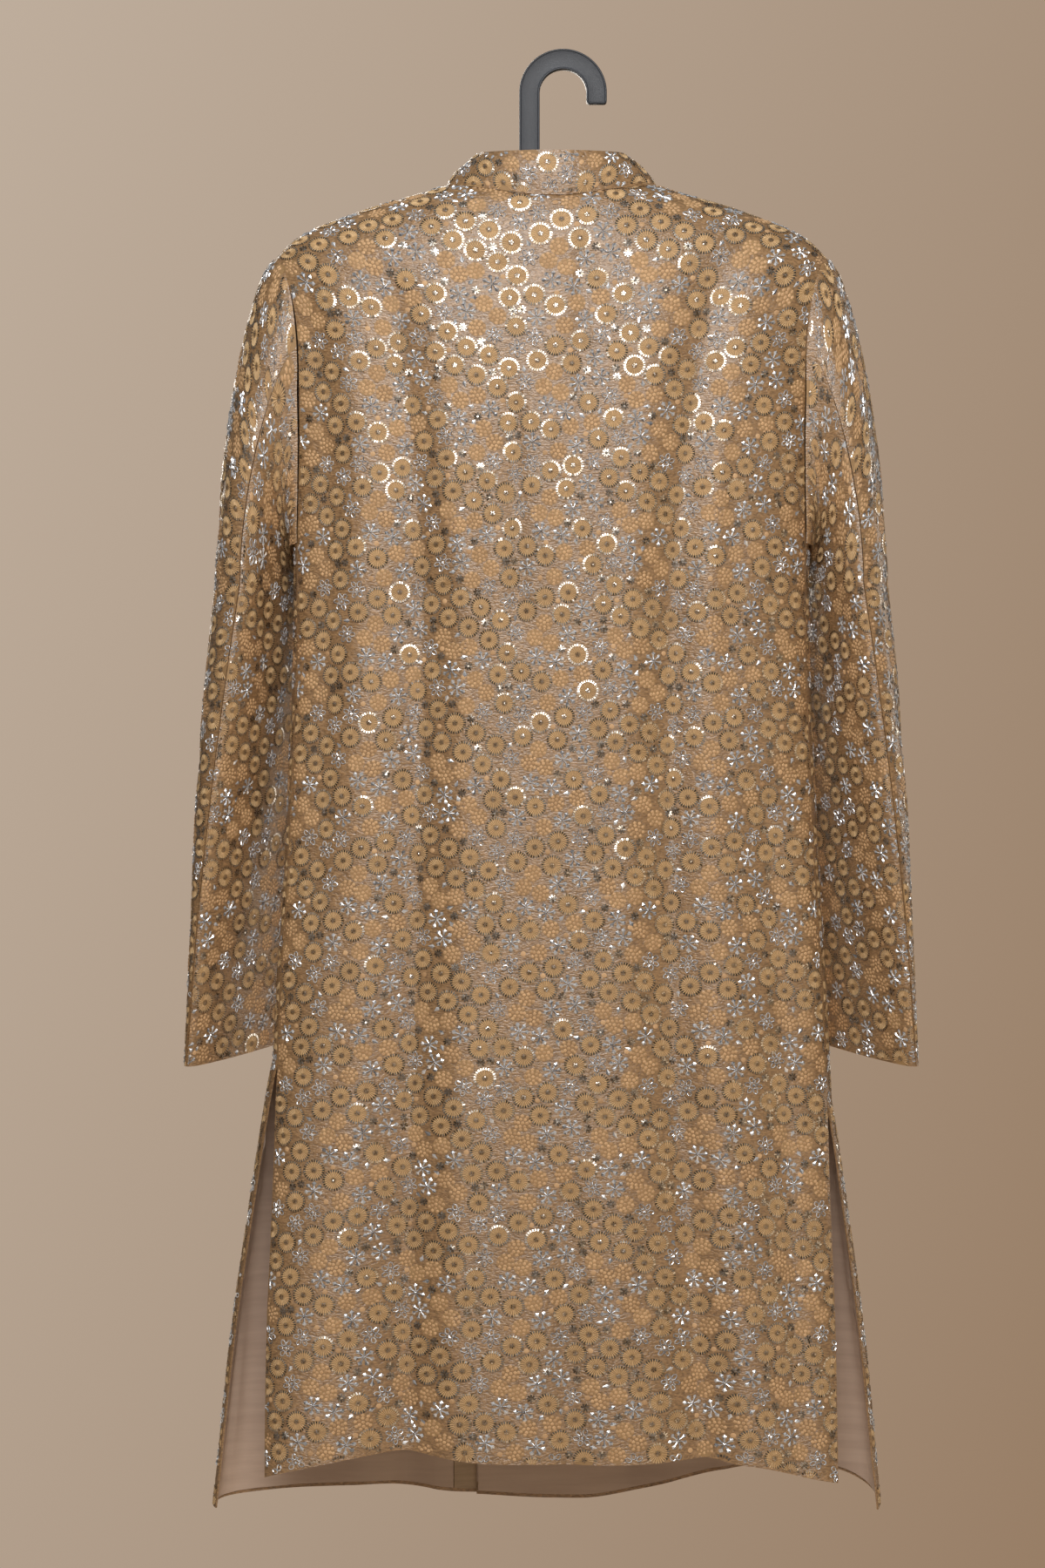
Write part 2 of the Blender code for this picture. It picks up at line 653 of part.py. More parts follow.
def add_buttons(metal):
    """Domed buttons on the centre front, made by turning half of their outline."""
    steps = 5
    rim, dome = 0.002, BUTTON_HEIGHT - 0.002
    outline = [(0.0, BUTTON_HEIGHT, 0.0)]
    for i in range(1, steps + 1):
        angle = math.pi / 2 * i / steps
        outline.append((BUTTON_RADIUS * math.sin(angle), rim + dome * math.cos(angle), 0.0))
    outline.append((BUTTON_RADIUS * 0.7, 0.0, 0.0))
    outline.append((0.0, 0.0, 0.0))
    mesh = bpy.data.meshes.new("button")
    mesh.from_pydata(outline, [(i, i + 1) for i in range(len(outline) - 1)], [])
    for number, z in enumerate(np.linspace(BUTTON_FIRST_Z, BUTTON_LAST_Z, BUTTON_COUNT), start=1):
        place = body(-GIRTH, z, "front")
        facing = outward(-GIRTH + 0.001, z, "front")
        button = add_object(f"button_{number}", mesh.copy(), metal)
        button.location.y = float(place[1]) + CLOTH + 2 * SEAM
        button.location.z = float(z)
        button.rotation_euler.x = math.atan2(facing[2], facing[1])
        turn = button.modifiers.new("turn", "SCREW")
        turn.axis = "Y"
        turn.steps = 14
        turn.render_steps = 14
        turn.use_merge_vertices = True
        turn.merge_threshold = 0.0001
        turn.use_normal_calculate = True


# ---- Hanger --------------------------------------------------------------------------------

def add_hook(plastic):
    """A flat band bent into a hook: a filled outline with thickness. Its inner crown is the origin."""
    outer = HOOK_INNER + HOOK_WIDTH
    outline = []
    for i in range(17):
        angle = math.pi * i / 16
        outline.append((-outer * math.cos(angle), -HOOK_INNER + outer * math.sin(angle)))
    outline += [(outer, HOOK_TIP_Z + 0.002), (outer - 0.002, HOOK_TIP_Z)]
    outline += [(HOOK_INNER + 0.002, HOOK_TIP_Z), (HOOK_INNER, HOOK_TIP_Z + 0.002)]
    for i in range(15):
        angle = math.pi * i / 14
        outline.append((HOOK_INNER * math.cos(angle), -HOOK_INNER + HOOK_INNER * math.sin(angle)))
    outline += [(-HOOK_INNER, STEM_END_Z), (-outer, STEM_END_Z)]
    curve = bpy.data.curves.new("hanger_hook", "CURVE")
    curve.dimensions = "2D"
    curve.fill_mode = "BOTH"
    curve.extrude = HOOK_THICKNESS / 2 - 0.0012
    curve.bevel_depth = 0.0012
    curve.bevel_resolution = 1
    curve.offset = -0.0012
    spline = curve.splines.new("POLY")
    spline.points.add(len(outline) - 1)
    for point, (x, z) in zip(spline.points, outline):
        point.co = (x, z, 0, 1)
    spline.use_cyclic_u = True
    hook = add_object("hanger_hook", curve, plastic, centre=0.0)
    hook.rotation_euler.x = math.pi / 2
    return hook


# The hanger's arms, from the middle outwards: top, half height and half thickness.
ARMS = Table(
    ("x", "top", "half_height", "half_depth"),
    [
        (0.000, -0.1140, 0.011, 0.011),
        (0.045, -0.1140, 0.010, 0.010),
        (0.085, -0.1195, 0.009, 0.010),
        (0.120, -0.1290, 0.009, 0.012),
        (0.160, -0.1415, 0.010, 0.015),
        (0.190, -0.1540, 0.011, 0.016),
        (0.205, -0.1660, 0.009, 0.010),
    ],
)


def add_arms(plastic):
    """Moulded arms inside the shoulders, clear of the cloth, lofted through oval sections."""
    places = np.array([-0.205, -0.197, -0.18, -0.16, -0.125, -0.085, -0.05, 0.0])
    places = np.concatenate([places, -places[:-1][::-1]])
    around = np.linspace(0, 2 * math.pi, 13)[:-1]
    rings = []
    for x in places:
        tall = ARMS.read("half_height", abs(x))
        middle = ARMS.read("top", abs(x)) - tall
        deep = ARMS.read("half_depth", abs(x))
        rings.append([(x, deep * math.cos(a), middle + tall * math.sin(a)) for a in around])
    add_loft("hanger_arms", np.array(rings), plastic)


def main():
    clear_scene()
    bpy.context.scene.collection.children.link(bpy.data.collections.new(COLLECTION))
    cloth = finish_material("embroidered_cloth", (0.56, 0.42, 0.28), 0.55, sheen=0.2)
    satin = finish_material("satin_lining", (0.27, 0.19, 0.15), 0.38)
    silk = finish_material("raw_silk", (0.50, 0.38, 0.26), 0.60)
    metal = finish_material("button_metal", (0.62, 0.50, 0.34), 0.30, metallic=1.0)
    plastic = finish_material("grey_plastic", (0.085, 0.10, 0.12), 0.42)
    add_body_panels(cloth, satin, silk)
    add_collar(cloth)
    add_sleeves(cloth)
    add_buttons(metal)
    add_hook(plastic)
    add_arms(plastic)


main()
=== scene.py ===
# %% [markdown]
# # A sherwani coat on its hanger
#
# A sherwani is a long buttoned coat. This one is cut from silk that is embroidered all over, with
# wheels, flowers and knots, before it is sewn up. It hangs by a plain hanger with its back to us.
# The work goes as a tailor's does: first the form of the hanging coat, then each cut piece laid
# on that form, then the embroidery stitched on each piece, then buttons, hanger, light and camera.
#
# Lengths are metres, +Z is up, the back faces -Y and the wearer's right is +X. The origin is the
# inner crown of the hook.

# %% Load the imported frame
import math

import bpy
import numpy as np
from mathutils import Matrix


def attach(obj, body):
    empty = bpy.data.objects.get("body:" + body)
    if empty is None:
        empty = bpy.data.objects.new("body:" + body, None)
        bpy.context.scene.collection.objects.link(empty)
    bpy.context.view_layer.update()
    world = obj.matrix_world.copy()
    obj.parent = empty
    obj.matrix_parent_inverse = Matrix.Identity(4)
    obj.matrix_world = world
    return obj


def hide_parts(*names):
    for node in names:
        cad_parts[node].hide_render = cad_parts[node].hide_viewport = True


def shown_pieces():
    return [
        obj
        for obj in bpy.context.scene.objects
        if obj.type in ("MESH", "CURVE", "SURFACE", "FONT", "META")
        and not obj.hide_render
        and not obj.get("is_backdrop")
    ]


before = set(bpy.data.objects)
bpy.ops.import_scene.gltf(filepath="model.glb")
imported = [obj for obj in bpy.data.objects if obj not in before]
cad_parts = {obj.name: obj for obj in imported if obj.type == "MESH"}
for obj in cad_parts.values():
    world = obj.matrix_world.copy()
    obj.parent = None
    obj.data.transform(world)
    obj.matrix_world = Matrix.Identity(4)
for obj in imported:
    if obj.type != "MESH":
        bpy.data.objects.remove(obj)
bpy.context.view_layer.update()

# %% [markdown]
# ## The form of the hanging coat
#
# A draped coat could be simulated, but a hung one keeps a few deep folds that have known places.
# So its form is written down: short tables give the body's width and depth at some heights, the
# line of the shoulders, and where each fold starts and ends. Everything else is read from them.

# %% Driving sizes
CENTRED = np.array([-0.0095, 0, 0])     # the coat hangs a little to one side of the hook
CLOTH = 0.0016
LINING = 0.0010
COLLAR_WALL = 0.0024
SEAM = 0.0003
NECK_HALF = 0.085
SHOULDER_HALF = 0.2225
SHOULDER_Z = -0.155
UNDERARM_Z = -0.385
NECK_BACK_DEPTH = 0.044
NECK_FRONT_DROP = 0.068
BACK_ROUND = 0.070
FRONT_ROUND = 0.085
SECTION_HALF, SECTION_BACK, SECTION_FRONT = 0.213, 0.062, 0.068
CORNER = 2.6                # how square the cross-section is; 2 would be an ellipse
SEAM_AT_SIDE = 0.30
NECK_FORM_HALF = 0.23       # half width of the form under the collar
SLIT_TOP = {-1: -0.806, 1: -0.840}
HEM_LEVEL = -1.15
LEFT_EDGE = 0.024
LAP_ENDS = 0.046            # from here on the right front is no longer pressed in by the left
RIGHT_EDGE = 0.056
FACING_EDGE = 0.074
FRONT_SPREAD = {-1: 0.041, 1: 0.034}
FRONT_LIFT = 0.030
BACK_SWING = 0.024
LAYER = CLOTH + LINING + 2 * SEAM + 0.0002
print("back across the shoulders", 2 * SHOULDER_HALF, "m")


# %% A table that is read smoothly between its rows
class Table:
    def __init__(self, columns, rows):
        rows = np.array(sorted(rows), float)
        self.key = rows[:, 0]
        self.columns = {name: rows[:, i] for i, name in enumerate(columns) if i}

    def read(self, column, at):
        key, value = self.key, self.columns[column]
        slope = np.gradient(value, key)
        at = np.clip(at, key[0], key[-1])
        i = np.clip(np.searchsorted(key, at) - 1, 0, len(key) - 2)
        step = key[i + 1] - key[i]
        t = (at - key[i]) / step
        rise = t * t * (3 - 2 * t)
        bend = t * (1 - t) * step * (slope[i] * (1 - t) - slope[i + 1] * t)
        return value[i] + (value[i + 1] - value[i]) * rise + bend


# %% The body: half its width, and the depth of back and front, at each height
BODY = Table(
    ("z", "half_width", "back", "front"),
    [
        (-0.100, 0.2380, 0.060, 0.058), (-0.155, 0.2355, 0.060, 0.062),
        (-0.210, 0.2240, 0.065, 0.070), (-0.270, 0.2150, 0.067, 0.076),
        (-0.385, 0.2080, 0.065, 0.076), (-0.480, 0.2085, 0.060, 0.068),
        (-0.580, 0.2125, 0.056, 0.062), (-0.653, 0.2160, 0.054, 0.059),
        (-0.724, 0.2207, 0.053, 0.057), (-0.806, 0.2248, 0.053, 0.055),
        (-0.937, 0.2293, 0.054, 0.054), (-1.008, 0.2323, 0.055, 0.054),
        (-1.170, 0.2340, 0.057, 0.055),
    ],
)
RIDGE = Table(
    ("x", "z"),
    [
        (0.000, -0.0855), (0.050, -0.0885), (0.085, -0.0967), (0.110, -0.1045), (0.142, -0.1134),
        (0.165, -0.1215), (0.190, -0.1310), (0.210, -0.1425), (0.2225, -0.1550), (0.240, -0.1730),
    ],
)
print("body rows", len(BODY.key), "shoulder line rows", len(RIDGE.key))

# %% The armholes and the hems
ARMHOLE_BACK = Table(
    ("z", "x"),
    [
        (-0.385, 0.2045), (-0.335, 0.2035), (-0.300, 0.2030), (-0.265, 0.2038), (-0.220, 0.2055),
        (-0.192, 0.2095), (-0.168, 0.2160), (-0.155, 0.2225),
    ],
)
ARMHOLE_FRONT = Table(
    ("z", "round"),
    [
        (-0.385, 0.000), (-0.382, 0.016), (-0.374, 0.034), (-0.360, 0.050), (-0.335, 0.064),
        (-0.300, 0.0715), (-0.260, 0.0700), (-0.220, 0.0630), (-0.185, 0.0520), (-0.155, 0.0390),
    ],
)
HEM_BACK = Table(
    ("w", "z"),
    [
        (-0.250, -1.148), (-0.200, -1.134), (-0.170, -1.127), (-0.138, -1.121), (-0.110, -1.118),
        (-0.086, -1.121), (-0.060, -1.125), (0.000, -1.1265), (0.067, -1.1265), (0.097, -1.1245),
        (0.119, -1.1235), (0.133, -1.1265), (0.156, -1.130), (0.186, -1.137), (0.250, -1.150),
    ],
)
HEM_FRONT = Table(
    ("q", "left", "right"),
    [
        (-0.060, -1.170, -1.170), (0.000, -1.171, -1.1735), (0.040, -1.170, -1.1725),
        (0.070, -1.168, -1.1655), (0.100, -1.163, -1.156), (0.135, -1.160, -1.1465),
        (0.170, -1.163, -1.143), (0.200, -1.167, -1.148), (0.235, -1.171, -1.164),
        (0.270, -1.176, -1.180),
    ],
)
back_hangs = RIDGE.read("z", NECK_HALF) - HEM_BACK.read("z", 0.0)
print("the back hangs", round(float(back_hangs), 3), "m from the neck's side to the hem")

# %% [markdown]
# ## Folds and creases
#
# A fold is a trough that runs down the cloth from where it is held. Its row says where it starts
# and ends, how deep it gets, and how wide its two banks are, because a hanging fold is steeper on
# one side. A crease is smaller, a short dent of its own length, depth and width.
# The distance round from the centre back is w, negative on the wearer's left.

# %% The drape folds, shared with the solid coat
FOLD_COLUMNS = "w_top", "z_top", "w_low", "z_low", "deep_top", "deep_low", "bank_left", "bank_right"
FOLDS = [
    (-0.122, -0.150, -0.108, -0.420, 0.0040, 0.0125, 0.052, 0.034),
    (-0.108, -0.420, -0.107, -1.200, 0.0125, 0.0190, 0.056, 0.042),
    (0.126, -0.140, 0.100, -0.420, 0.0060, 0.0110, 0.040, 0.034),
    (0.100, -0.420, 0.093, -0.780, 0.0110, 0.0125, 0.044, 0.036),
    (0.093, -0.780, 0.118, -1.200, 0.0125, 0.0150, 0.046, 0.034),
    (-0.030, -0.240, -0.026, -0.480, 0.0030, 0.0030, 0.020, 0.014),
    (0.024, -0.120, 0.022, -0.300, 0.0028, 0.0028, 0.014, 0.016),
    (0.176, -0.560, 0.186, -1.200, 0.0050, 0.0090, 0.046, 0.034),
    (-0.186, -0.150, -0.190, -0.700, 0.0045, 0.0040, 0.030, 0.028),
    (0.012, -0.880, 0.014, -1.200, 0.0030, 0.0050, 0.024, 0.022),
    (0.330, -0.300, 0.352, -1.250, 0.0060, 0.0150, 0.050, 0.045),
    (0.396, -0.560, 0.390, -1.250, 0.0030, 0.0120, 0.036, 0.036),
    (-0.345, -0.260, -0.338, -1.250, 0.0070, 0.0130, 0.046, 0.050),
    (-0.402, -0.640, -0.396, -1.250, 0.0030, 0.0110, 0.036, 0.034),
]
print("folds", len(FOLDS))

# %% The small creases of the body, by distance round and height
CREASES = [
    # from (w, z) to (w, z), depth, width
    (-0.070, -0.123, 0.004, -0.117, 0.0013, 0.0040),
    (-0.014, -0.130, 0.078, -0.122, 0.0011, 0.0045),
    (-0.100, -0.142, -0.040, -0.134, 0.0010, 0.0060),
    (-0.198, -0.262, -0.150, -0.205, 0.0020, 0.0090),
    (-0.200, -0.330, -0.158, -0.300, 0.0018, 0.0100),
    (0.200, -0.250, 0.160, -0.200, 0.0020, 0.0090),
    (0.203, -0.345, 0.150, -0.320, 0.0016, 0.0110),
    (-0.060, -0.340, -0.056, -0.640, 0.0012, 0.0110),
    (0.050, -0.360, 0.046, -0.700, 0.0010, 0.0120),
    (-0.040, -0.760, -0.052, -1.120, 0.0014, 0.0120),
    (0.062, -0.820, 0.070, -1.130, 0.0013, 0.0110),
    (0.150, -0.300, 0.146, -0.520, 0.0014, 0.0100),
    (-0.160, -0.560, -0.166, -0.900, 0.0016, 0.0120),
    (-0.150, -0.940, -0.158, -1.140, 0.0022, 0.0110),
    (0.206, -0.880, 0.214, -1.140, 0.0020, 0.0100),
    (0.300, -0.250, 0.345, -0.215, 0.0018, 0.0100),
    (-0.300, -0.270, -0.340, -0.220, 0.0018, 0.0100),
    (0.405, -0.260, 0.370, -0.420, 0.0014, 0.0120),
    (-0.405, -0.300, -0.372, -0.460, 0.0014, 0.0120),
    (0.300, -0.640, 0.296, -0.980, 0.0020, 0.0120),
    (-0.300, -0.560, -0.292, -0.940, 0.0020, 0.0120),
]
print("creases", len(CREASES))


# %% How deep folds and creases sink the cloth
def smooth(low, high, at):
    t = np.clip((at - low) / (high - low), 0, 1)
    return t * t * (3 - 2 * t)


def added_up(steps):
    """Distance along a line at each of its points, from the length of its steps."""
    return np.concatenate([[0], np.cumsum(steps)])


def fold_depth(w, z):
    total = np.zeros(np.broadcast(w, z).shape)
    for row in FOLDS:
        fold = dict(zip(FOLD_COLUMNS, row))
        length = fold["z_top"] - fold["z_low"]
        along = (fold["z_top"] - z) / length
        middle = fold["w_top"] + (fold["w_low"] - fold["w_top"]) * along
        depth = fold["deep_top"] + (fold["deep_low"] - fold["deep_top"]) * along
        starts = any(row[:2] == other[2:4] for other in FOLDS)
        ends = any(row[2:4] == other[:2] for other in FOLDS)
        inside = (along >= 0) if starts else smooth(0, 0.05 / length, along)
        lower = (along < 1) if ends else smooth(1 + 0.002 / length, 1 - 0.05 / length, along)
        bank = np.where(w < middle, fold["bank_left"], fold["bank_right"])
        across = np.clip(np.abs(w - middle) / bank, 0, 1)
        total += depth * inside * lower * (1 - across) ** 2 * (1 + 1.2 * across)
    return total


def crease_depth(u, v, rows):
    total = np.zeros(np.broadcast(u, v).shape)
    for u_0, v_0, u_1, v_1, deep, wide in rows:
        du, dv = u_1 - u_0, v_1 - v_0
        t = np.clip(((u - u_0) * du + (v - v_0) * dv) / (du * du + dv * dv), 0, 1)
        distance = np.hypot(u - u_0 - du * t, v - v_0 - dv * t)
        total += deep * np.exp(-((distance / wide) ** 2)) * (0.35 + 0.65 * np.sin(math.pi * t))
    return total


print("deepest fold", round(float(fold_depth(np.array(-0.107), np.array(-1.1))) * 1000, 1), "mm")

# %% [markdown]
# The body's cross-section is a rounded rectangle, squarer than an ellipse. It is measured once, so
# that a distance round the coat gives a place on it, as a tape measure does.


# %% The cross-section, measured round from the centre back
def unit_section():
    angle = np.linspace(0, math.pi, 3601)
    across = np.sin(angle) ** (2 / CORNER)
    across[-1] = 0
    deep = -np.sign(np.cos(angle)) * np.abs(np.cos(angle)) ** (2 / CORNER)
    half_depth = np.where(deep < 0, SECTION_BACK, SECTION_FRONT)
    distance = added_up(np.hypot(np.diff(SECTION_HALF * across), np.diff(half_depth * deep)))
    out_x = across ** (CORNER - 1) / SECTION_HALF
    out_y = np.sign(deep) * np.abs(deep) ** (CORNER - 1) / half_depth
    length = np.hypot(out_x, out_y)
    return distance, across, deep, out_x / length, out_y / length


ROUND, ACROSS, DEEP, OUT_X, OUT_Y = unit_section()
GIRTH = float(ROUND[-1])
HALF_WAY = int(np.searchsorted(DEEP, 0.0))
SEAM_W = float(np.interp(-SEAM_AT_SIDE, DEEP, ROUND))
print("half the girth", round(GIRTH, 3), "m, side seam at", round(SEAM_W, 3), "m")


# %% A place on the body's cloth
def body(w, z, panel, sunk=0.0):
    w, z = np.broadcast_arrays(np.asarray(w, float), np.asarray(z, float))
    side = np.where(w < 0, -1.0, 1.0)
    far = np.abs(w)
    across, deep = np.interp(far, ROUND, ACROSS), np.interp(far, ROUND, DEEP)
    x = BODY.read("half_width", z) * across
    behind = deep < 0
    y = np.where(behind, BODY.read("back", z), BODY.read("front", z)) * deep
    round_off = np.where(behind, BACK_ROUND, FRONT_ROUND)
    drop = np.clip((RIDGE.read("z", x) - z) / round_off, 0, 1)
    shoulder = np.sqrt(1 - (1 - drop) ** 2)
    sink = fold_depth(w, z) * smooth(0.1, 0.9, shoulder) + sunk
    sink = sink + crease_depth(w, z, CREASES) * smooth(0.02, 0.3, shoulder)
    x = x - sink * np.interp(far, ROUND, OUT_X) * shoulder
    y = y * shoulder - sink * np.interp(far, ROUND, OUT_Y) * shoulder
    slit = np.where(side < 0, SLIT_TOP[-1], SLIT_TOP[1])
    open_share = np.clip((slit - z) / (slit - HEM_LEVEL), 0, 1.2)
    if panel == "back":
        y = y - BACK_SWING * open_share * smooth(0.10, SEAM_W, far)
    else:
        spread = np.where(side < 0, FRONT_SPREAD[-1], FRONT_SPREAD[1])
        near_slit = smooth(GIRTH - 0.12, SEAM_W, far)
        x = x + spread * open_share ** 0.85 * near_slit
        y = y + FRONT_LIFT * open_share ** 0.85 * near_slit
    return np.stack([side * x, y, z], axis=-1)


print("centre back at the waist", np.round(body(0.0, -0.6, "back"), 3))


# %% Seam lines on the body
def round_at(x, z, front=False):
    share = np.clip(x / BODY.read("half_width", z), 0, 1)
    if front:
        return np.interp(-share, -ACROSS[HALF_WAY:], ROUND[HALF_WAY:])
    return np.interp(share, ACROSS[: HALF_WAY + 1], ROUND[: HALF_WAY + 1])


def back_armhole(z):
    return round_at(ARMHOLE_BACK.read("x", z), z)


def front_armhole(z):
    tip = round_at(SHOULDER_HALF, SHOULDER_Z, front=True)
    lower = SEAM_W + ARMHOLE_FRONT.read("round", z)
    return lower + (tip - lower) * smooth(-0.200, SHOULDER_Z, z)


def neckline_back(x):
    plan = NECK_BACK_DEPTH * np.sqrt(np.clip(1 - (x / NECK_HALF) ** 2, 0, 1))
    ridge = RIDGE.read("z", x)
    narrowed = (1 - np.clip(x / NECK_FORM_HALF, 0, 1) ** CORNER) ** (1 / CORNER)
    full = BODY.read("back", ridge) * narrowed
    return ridge - BACK_ROUND * (1 - np.sqrt(1 - np.clip(plan / np.maximum(full, 0.001), 0, 1) ** 2))


def neckline_front(x):
    fall = NECK_FRONT_DROP * np.clip(1 - (x / NECK_HALF) ** 2, 0, 1) ** 0.8
    return RIDGE.read("z", NECK_HALF) - fall


def top_edge(places, front):
    far = GIRTH - np.abs(places) if front else np.abs(places)
    z = np.full(np.shape(places), -0.11)
    for _ in range(12):
        x = BODY.read("half_width", z) * np.interp(far, ROUND, ACROSS)
        neck = neckline_front(x) if front else neckline_back(x)
        z = np.where(x < NECK_HALF, neck, RIDGE.read("z", x))
    return z


print("neckline at the centre back", round(float(neckline_back(0.0)), 3), "m")

# %% [markdown]
# ## Cut pieces
#
# Each piece is kept as a net of points on its wrong side, in rows down the piece. The net gives
# the cloth's two faces, and a way to find any place of the flat cut on the hanging piece, which
# the embroidery needs. A cut's places are (u, v): across it, and its height along the cloth.


# %% A piece of cloth as a net of points
def lengths(vectors):
    return np.linalg.norm(vectors, axis=-1)


class Piece:
    def __init__(self, name, points, wall, find):
        down, across = np.gradient(points, axis=0), np.gradient(points, axis=1)
        normal = np.cross(down, across)
        self.name, self.points, self.wall, self.find = name, points, wall, find
        self.normals = normal / lengths(normal)[..., None]
        self.decoration = []

    def at(self, r, c, height):
        """Points at fractional rows and columns, that far out from the wrong side."""
        rows, columns = self.points.shape[:2]
        r, c = np.clip(r, 0, rows - 1.001), np.clip(c, 0, columns - 1.001)
        i, j = r.astype(int), c.astype(int)
        a, b = (r - i)[..., None], (c - j)[..., None]
        total = 0
        for di, dj in ((0, 0), (1, 0), (0, 1), (1, 1)):
            corner = i + di, j + dj
            lifted = self.points[corner] + self.normals[corner] * height[..., None]
            total = total + lifted * ((a if di else 1 - a) * (b if dj else 1 - b))
        return total

    def cut(self):
        """Width and length of the flat cut, and its area."""
        sides_u, sides_v = np.diff(self.points, axis=1), np.diff(self.points, axis=0)
        corners = np.cross(sides_u[:-1], sides_v[:, :-1]), np.cross(sides_u[1:], sides_v[:, 1:])
        area = sum(float(lengths(c).sum()) / 2 for c in corners)
        width, length = lengths(sides_u).sum(axis=1).max(), lengths(sides_v).sum(axis=0).max()
        return float(width), float(length), area

    def say_cut(self):
        width, length, area = self.cut()
        print(f"{self.name}: {width:.3f} x {length:.3f} m, {area:.4f} m2")


print("pieces are nets of points")


# %% A mesh from arrays, riding on the coat
def new_mesh(name, points, quads, materials, slots=None, triangles=None, sharp=None):
    mesh = bpy.data.meshes.new(name)
    faces = [quads] if triangles is None else [quads, triangles]
    faces = [f for f in faces if f is not None and len(f)]
    sizes = np.concatenate([np.full(len(f), f.shape[1]) for f in faces])
    starts = np.cumsum(sizes) - sizes
    corners = np.concatenate([f.ravel() for f in faces]).astype(np.int32)
    mesh.vertices.add(len(points))
    mesh.vertices.foreach_set("co", np.ascontiguousarray(points, np.float32).ravel())
    mesh.loops.add(len(corners))
    mesh.loops.foreach_set("vertex_index", corners)
    mesh.polygons.add(len(sizes))
    mesh.polygons.foreach_set("loop_start", starts.astype(np.int32))
    mesh.update(calc_edges=True)
    for material in materials:
        mesh.materials.append(material)
    if slots is not None:
        mesh.polygons.foreach_set("material_index", slots.astype(np.int32))
    mesh.shade_smooth()
    if sharp is not None:
        mesh.set_sharp_from_angle(angle=sharp)
    obj = bpy.data.objects.new(name, mesh)
    bpy.context.scene.collection.objects.link(obj)
    return obj


def belongs(obj, slot, *nodes):
    """The piece rides on the coat and stands for its nodes. slot is not used."""
    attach(obj, "root")
    if nodes:
        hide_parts(*nodes)
    return obj


def net_quads(rows, columns, closed=False):
    across = np.arange(columns if closed else columns - 1)
    r, c = np.meshgrid(np.arange(rows - 1), across, indexing="ij")
    here, below, d = r * columns, (r + 1) * columns, (c + 1) % columns
    return np.stack([here + c, below + c, below + d, here + d], -1).reshape(-1, 4)


def closed_tube(rings, flip=False):
    """Points, walls and end caps of a tube from its rings. flip turns its faces over."""
    count, around = rings.shape[:2]
    points = np.concatenate([rings.reshape(-1, 3), rings[:1].mean(axis=1), rings[-1:].mean(axis=1)])
    i, last = np.arange(around), (count - 1) * around
    j = (i + 1) % around
    caps = np.concatenate([
        np.column_stack([i, j, np.full(around, len(points) - 2)]),
        np.column_stack([j + last, i + last, np.full(around, len(points) - 1)]),
    ])
    order = slice(None, None, -1 if flip else 1)
    return points, net_quads(count, around, closed=True)[:, order], caps[:, order]


print("mesh makers ready")


# %% Both faces of a piece, joined round its edge
def sew_piece(piece, low, high, materials, turned=None):
    """low and high are the heights of its two faces. turned marks cells of the wrong side where
    the right side's cloth is turned in."""
    rows, columns = piece.points.shape[:2]
    count = rows * columns
    inner = piece.points + piece.normals * low
    outer = piece.points + piece.normals * high
    grid = np.arange(count).reshape(rows, columns)
    face = net_quads(rows, columns)
    rims = []
    for line in (grid[0], grid[-1][::-1], grid[:, 0][::-1], grid[:, -1]):
        a, b = line[:-1], line[1:]
        rims.append(np.stack([a, b, b + count, a + count], -1))
    quads = np.concatenate([face, face[:, ::-1] + count, *rims])
    slots = np.zeros(len(quads))
    slots[len(face) : 2 * len(face)] = 1
    if turned is not None:
        slots[len(face) : 2 * len(face)][turned.ravel()] = 0
    points = np.concatenate([outer.reshape(-1, 3), inner.reshape(-1, 3)]) + CENTRED
    return new_mesh(piece.name, points, quads, materials, slots, sharp=math.radians(60))


print("faces, rims and turned edges in one mesh")

# %% [markdown]
# ## Laying the back and the fronts on the form
#
# Rows are shared out between the top edge and the underarm, closer together where the cloth rolls
# over the shoulder, and then evenly down to the hem. The back runs from side seam to side seam.
# A front runs from its free edge to the side seam, and the right front lies under the left.

# %% Rows and columns of the body's pieces
CELL = 0.005
UPPER = 54
LOWER = 152
TOWARDS_EDGE = 1.7          # rows crowd towards the shoulder by this power


def level_of(share):
    return SHOULDER_Z + (UNDERARM_Z - SHOULDER_Z) * share


def panel_net(free_edge, side_edge, columns, front, hem):
    """Places and heights of a panel's net. side_edge gives its far edge from a level."""
    share = np.linspace(0, 1, columns + 1)
    upper = np.linspace(0, 1, UPPER + 1) ** TOWARDS_EDGE
    lower = np.linspace(0, 1, LOWER + 1)[1:]
    levels = np.concatenate([level_of(upper), UNDERARM_Z + (HEM_LEVEL - UNDERARM_Z) * lower])
    far = np.where(levels > UNDERARM_Z, side_edge(levels), side_edge(np.array(UNDERARM_Z)))[:, None]
    near = free_edge(far)
    places = near + (far - near) * share
    top = top_edge(places[0], front)
    heights = top + (UNDERARM_Z - top) * upper[:, None]
    below = places[UPPER + 1 :]
    heights = np.concatenate([heights, UNDERARM_Z + (hem(below) - UNDERARM_Z) * lower[:, None]])
    return places, heights


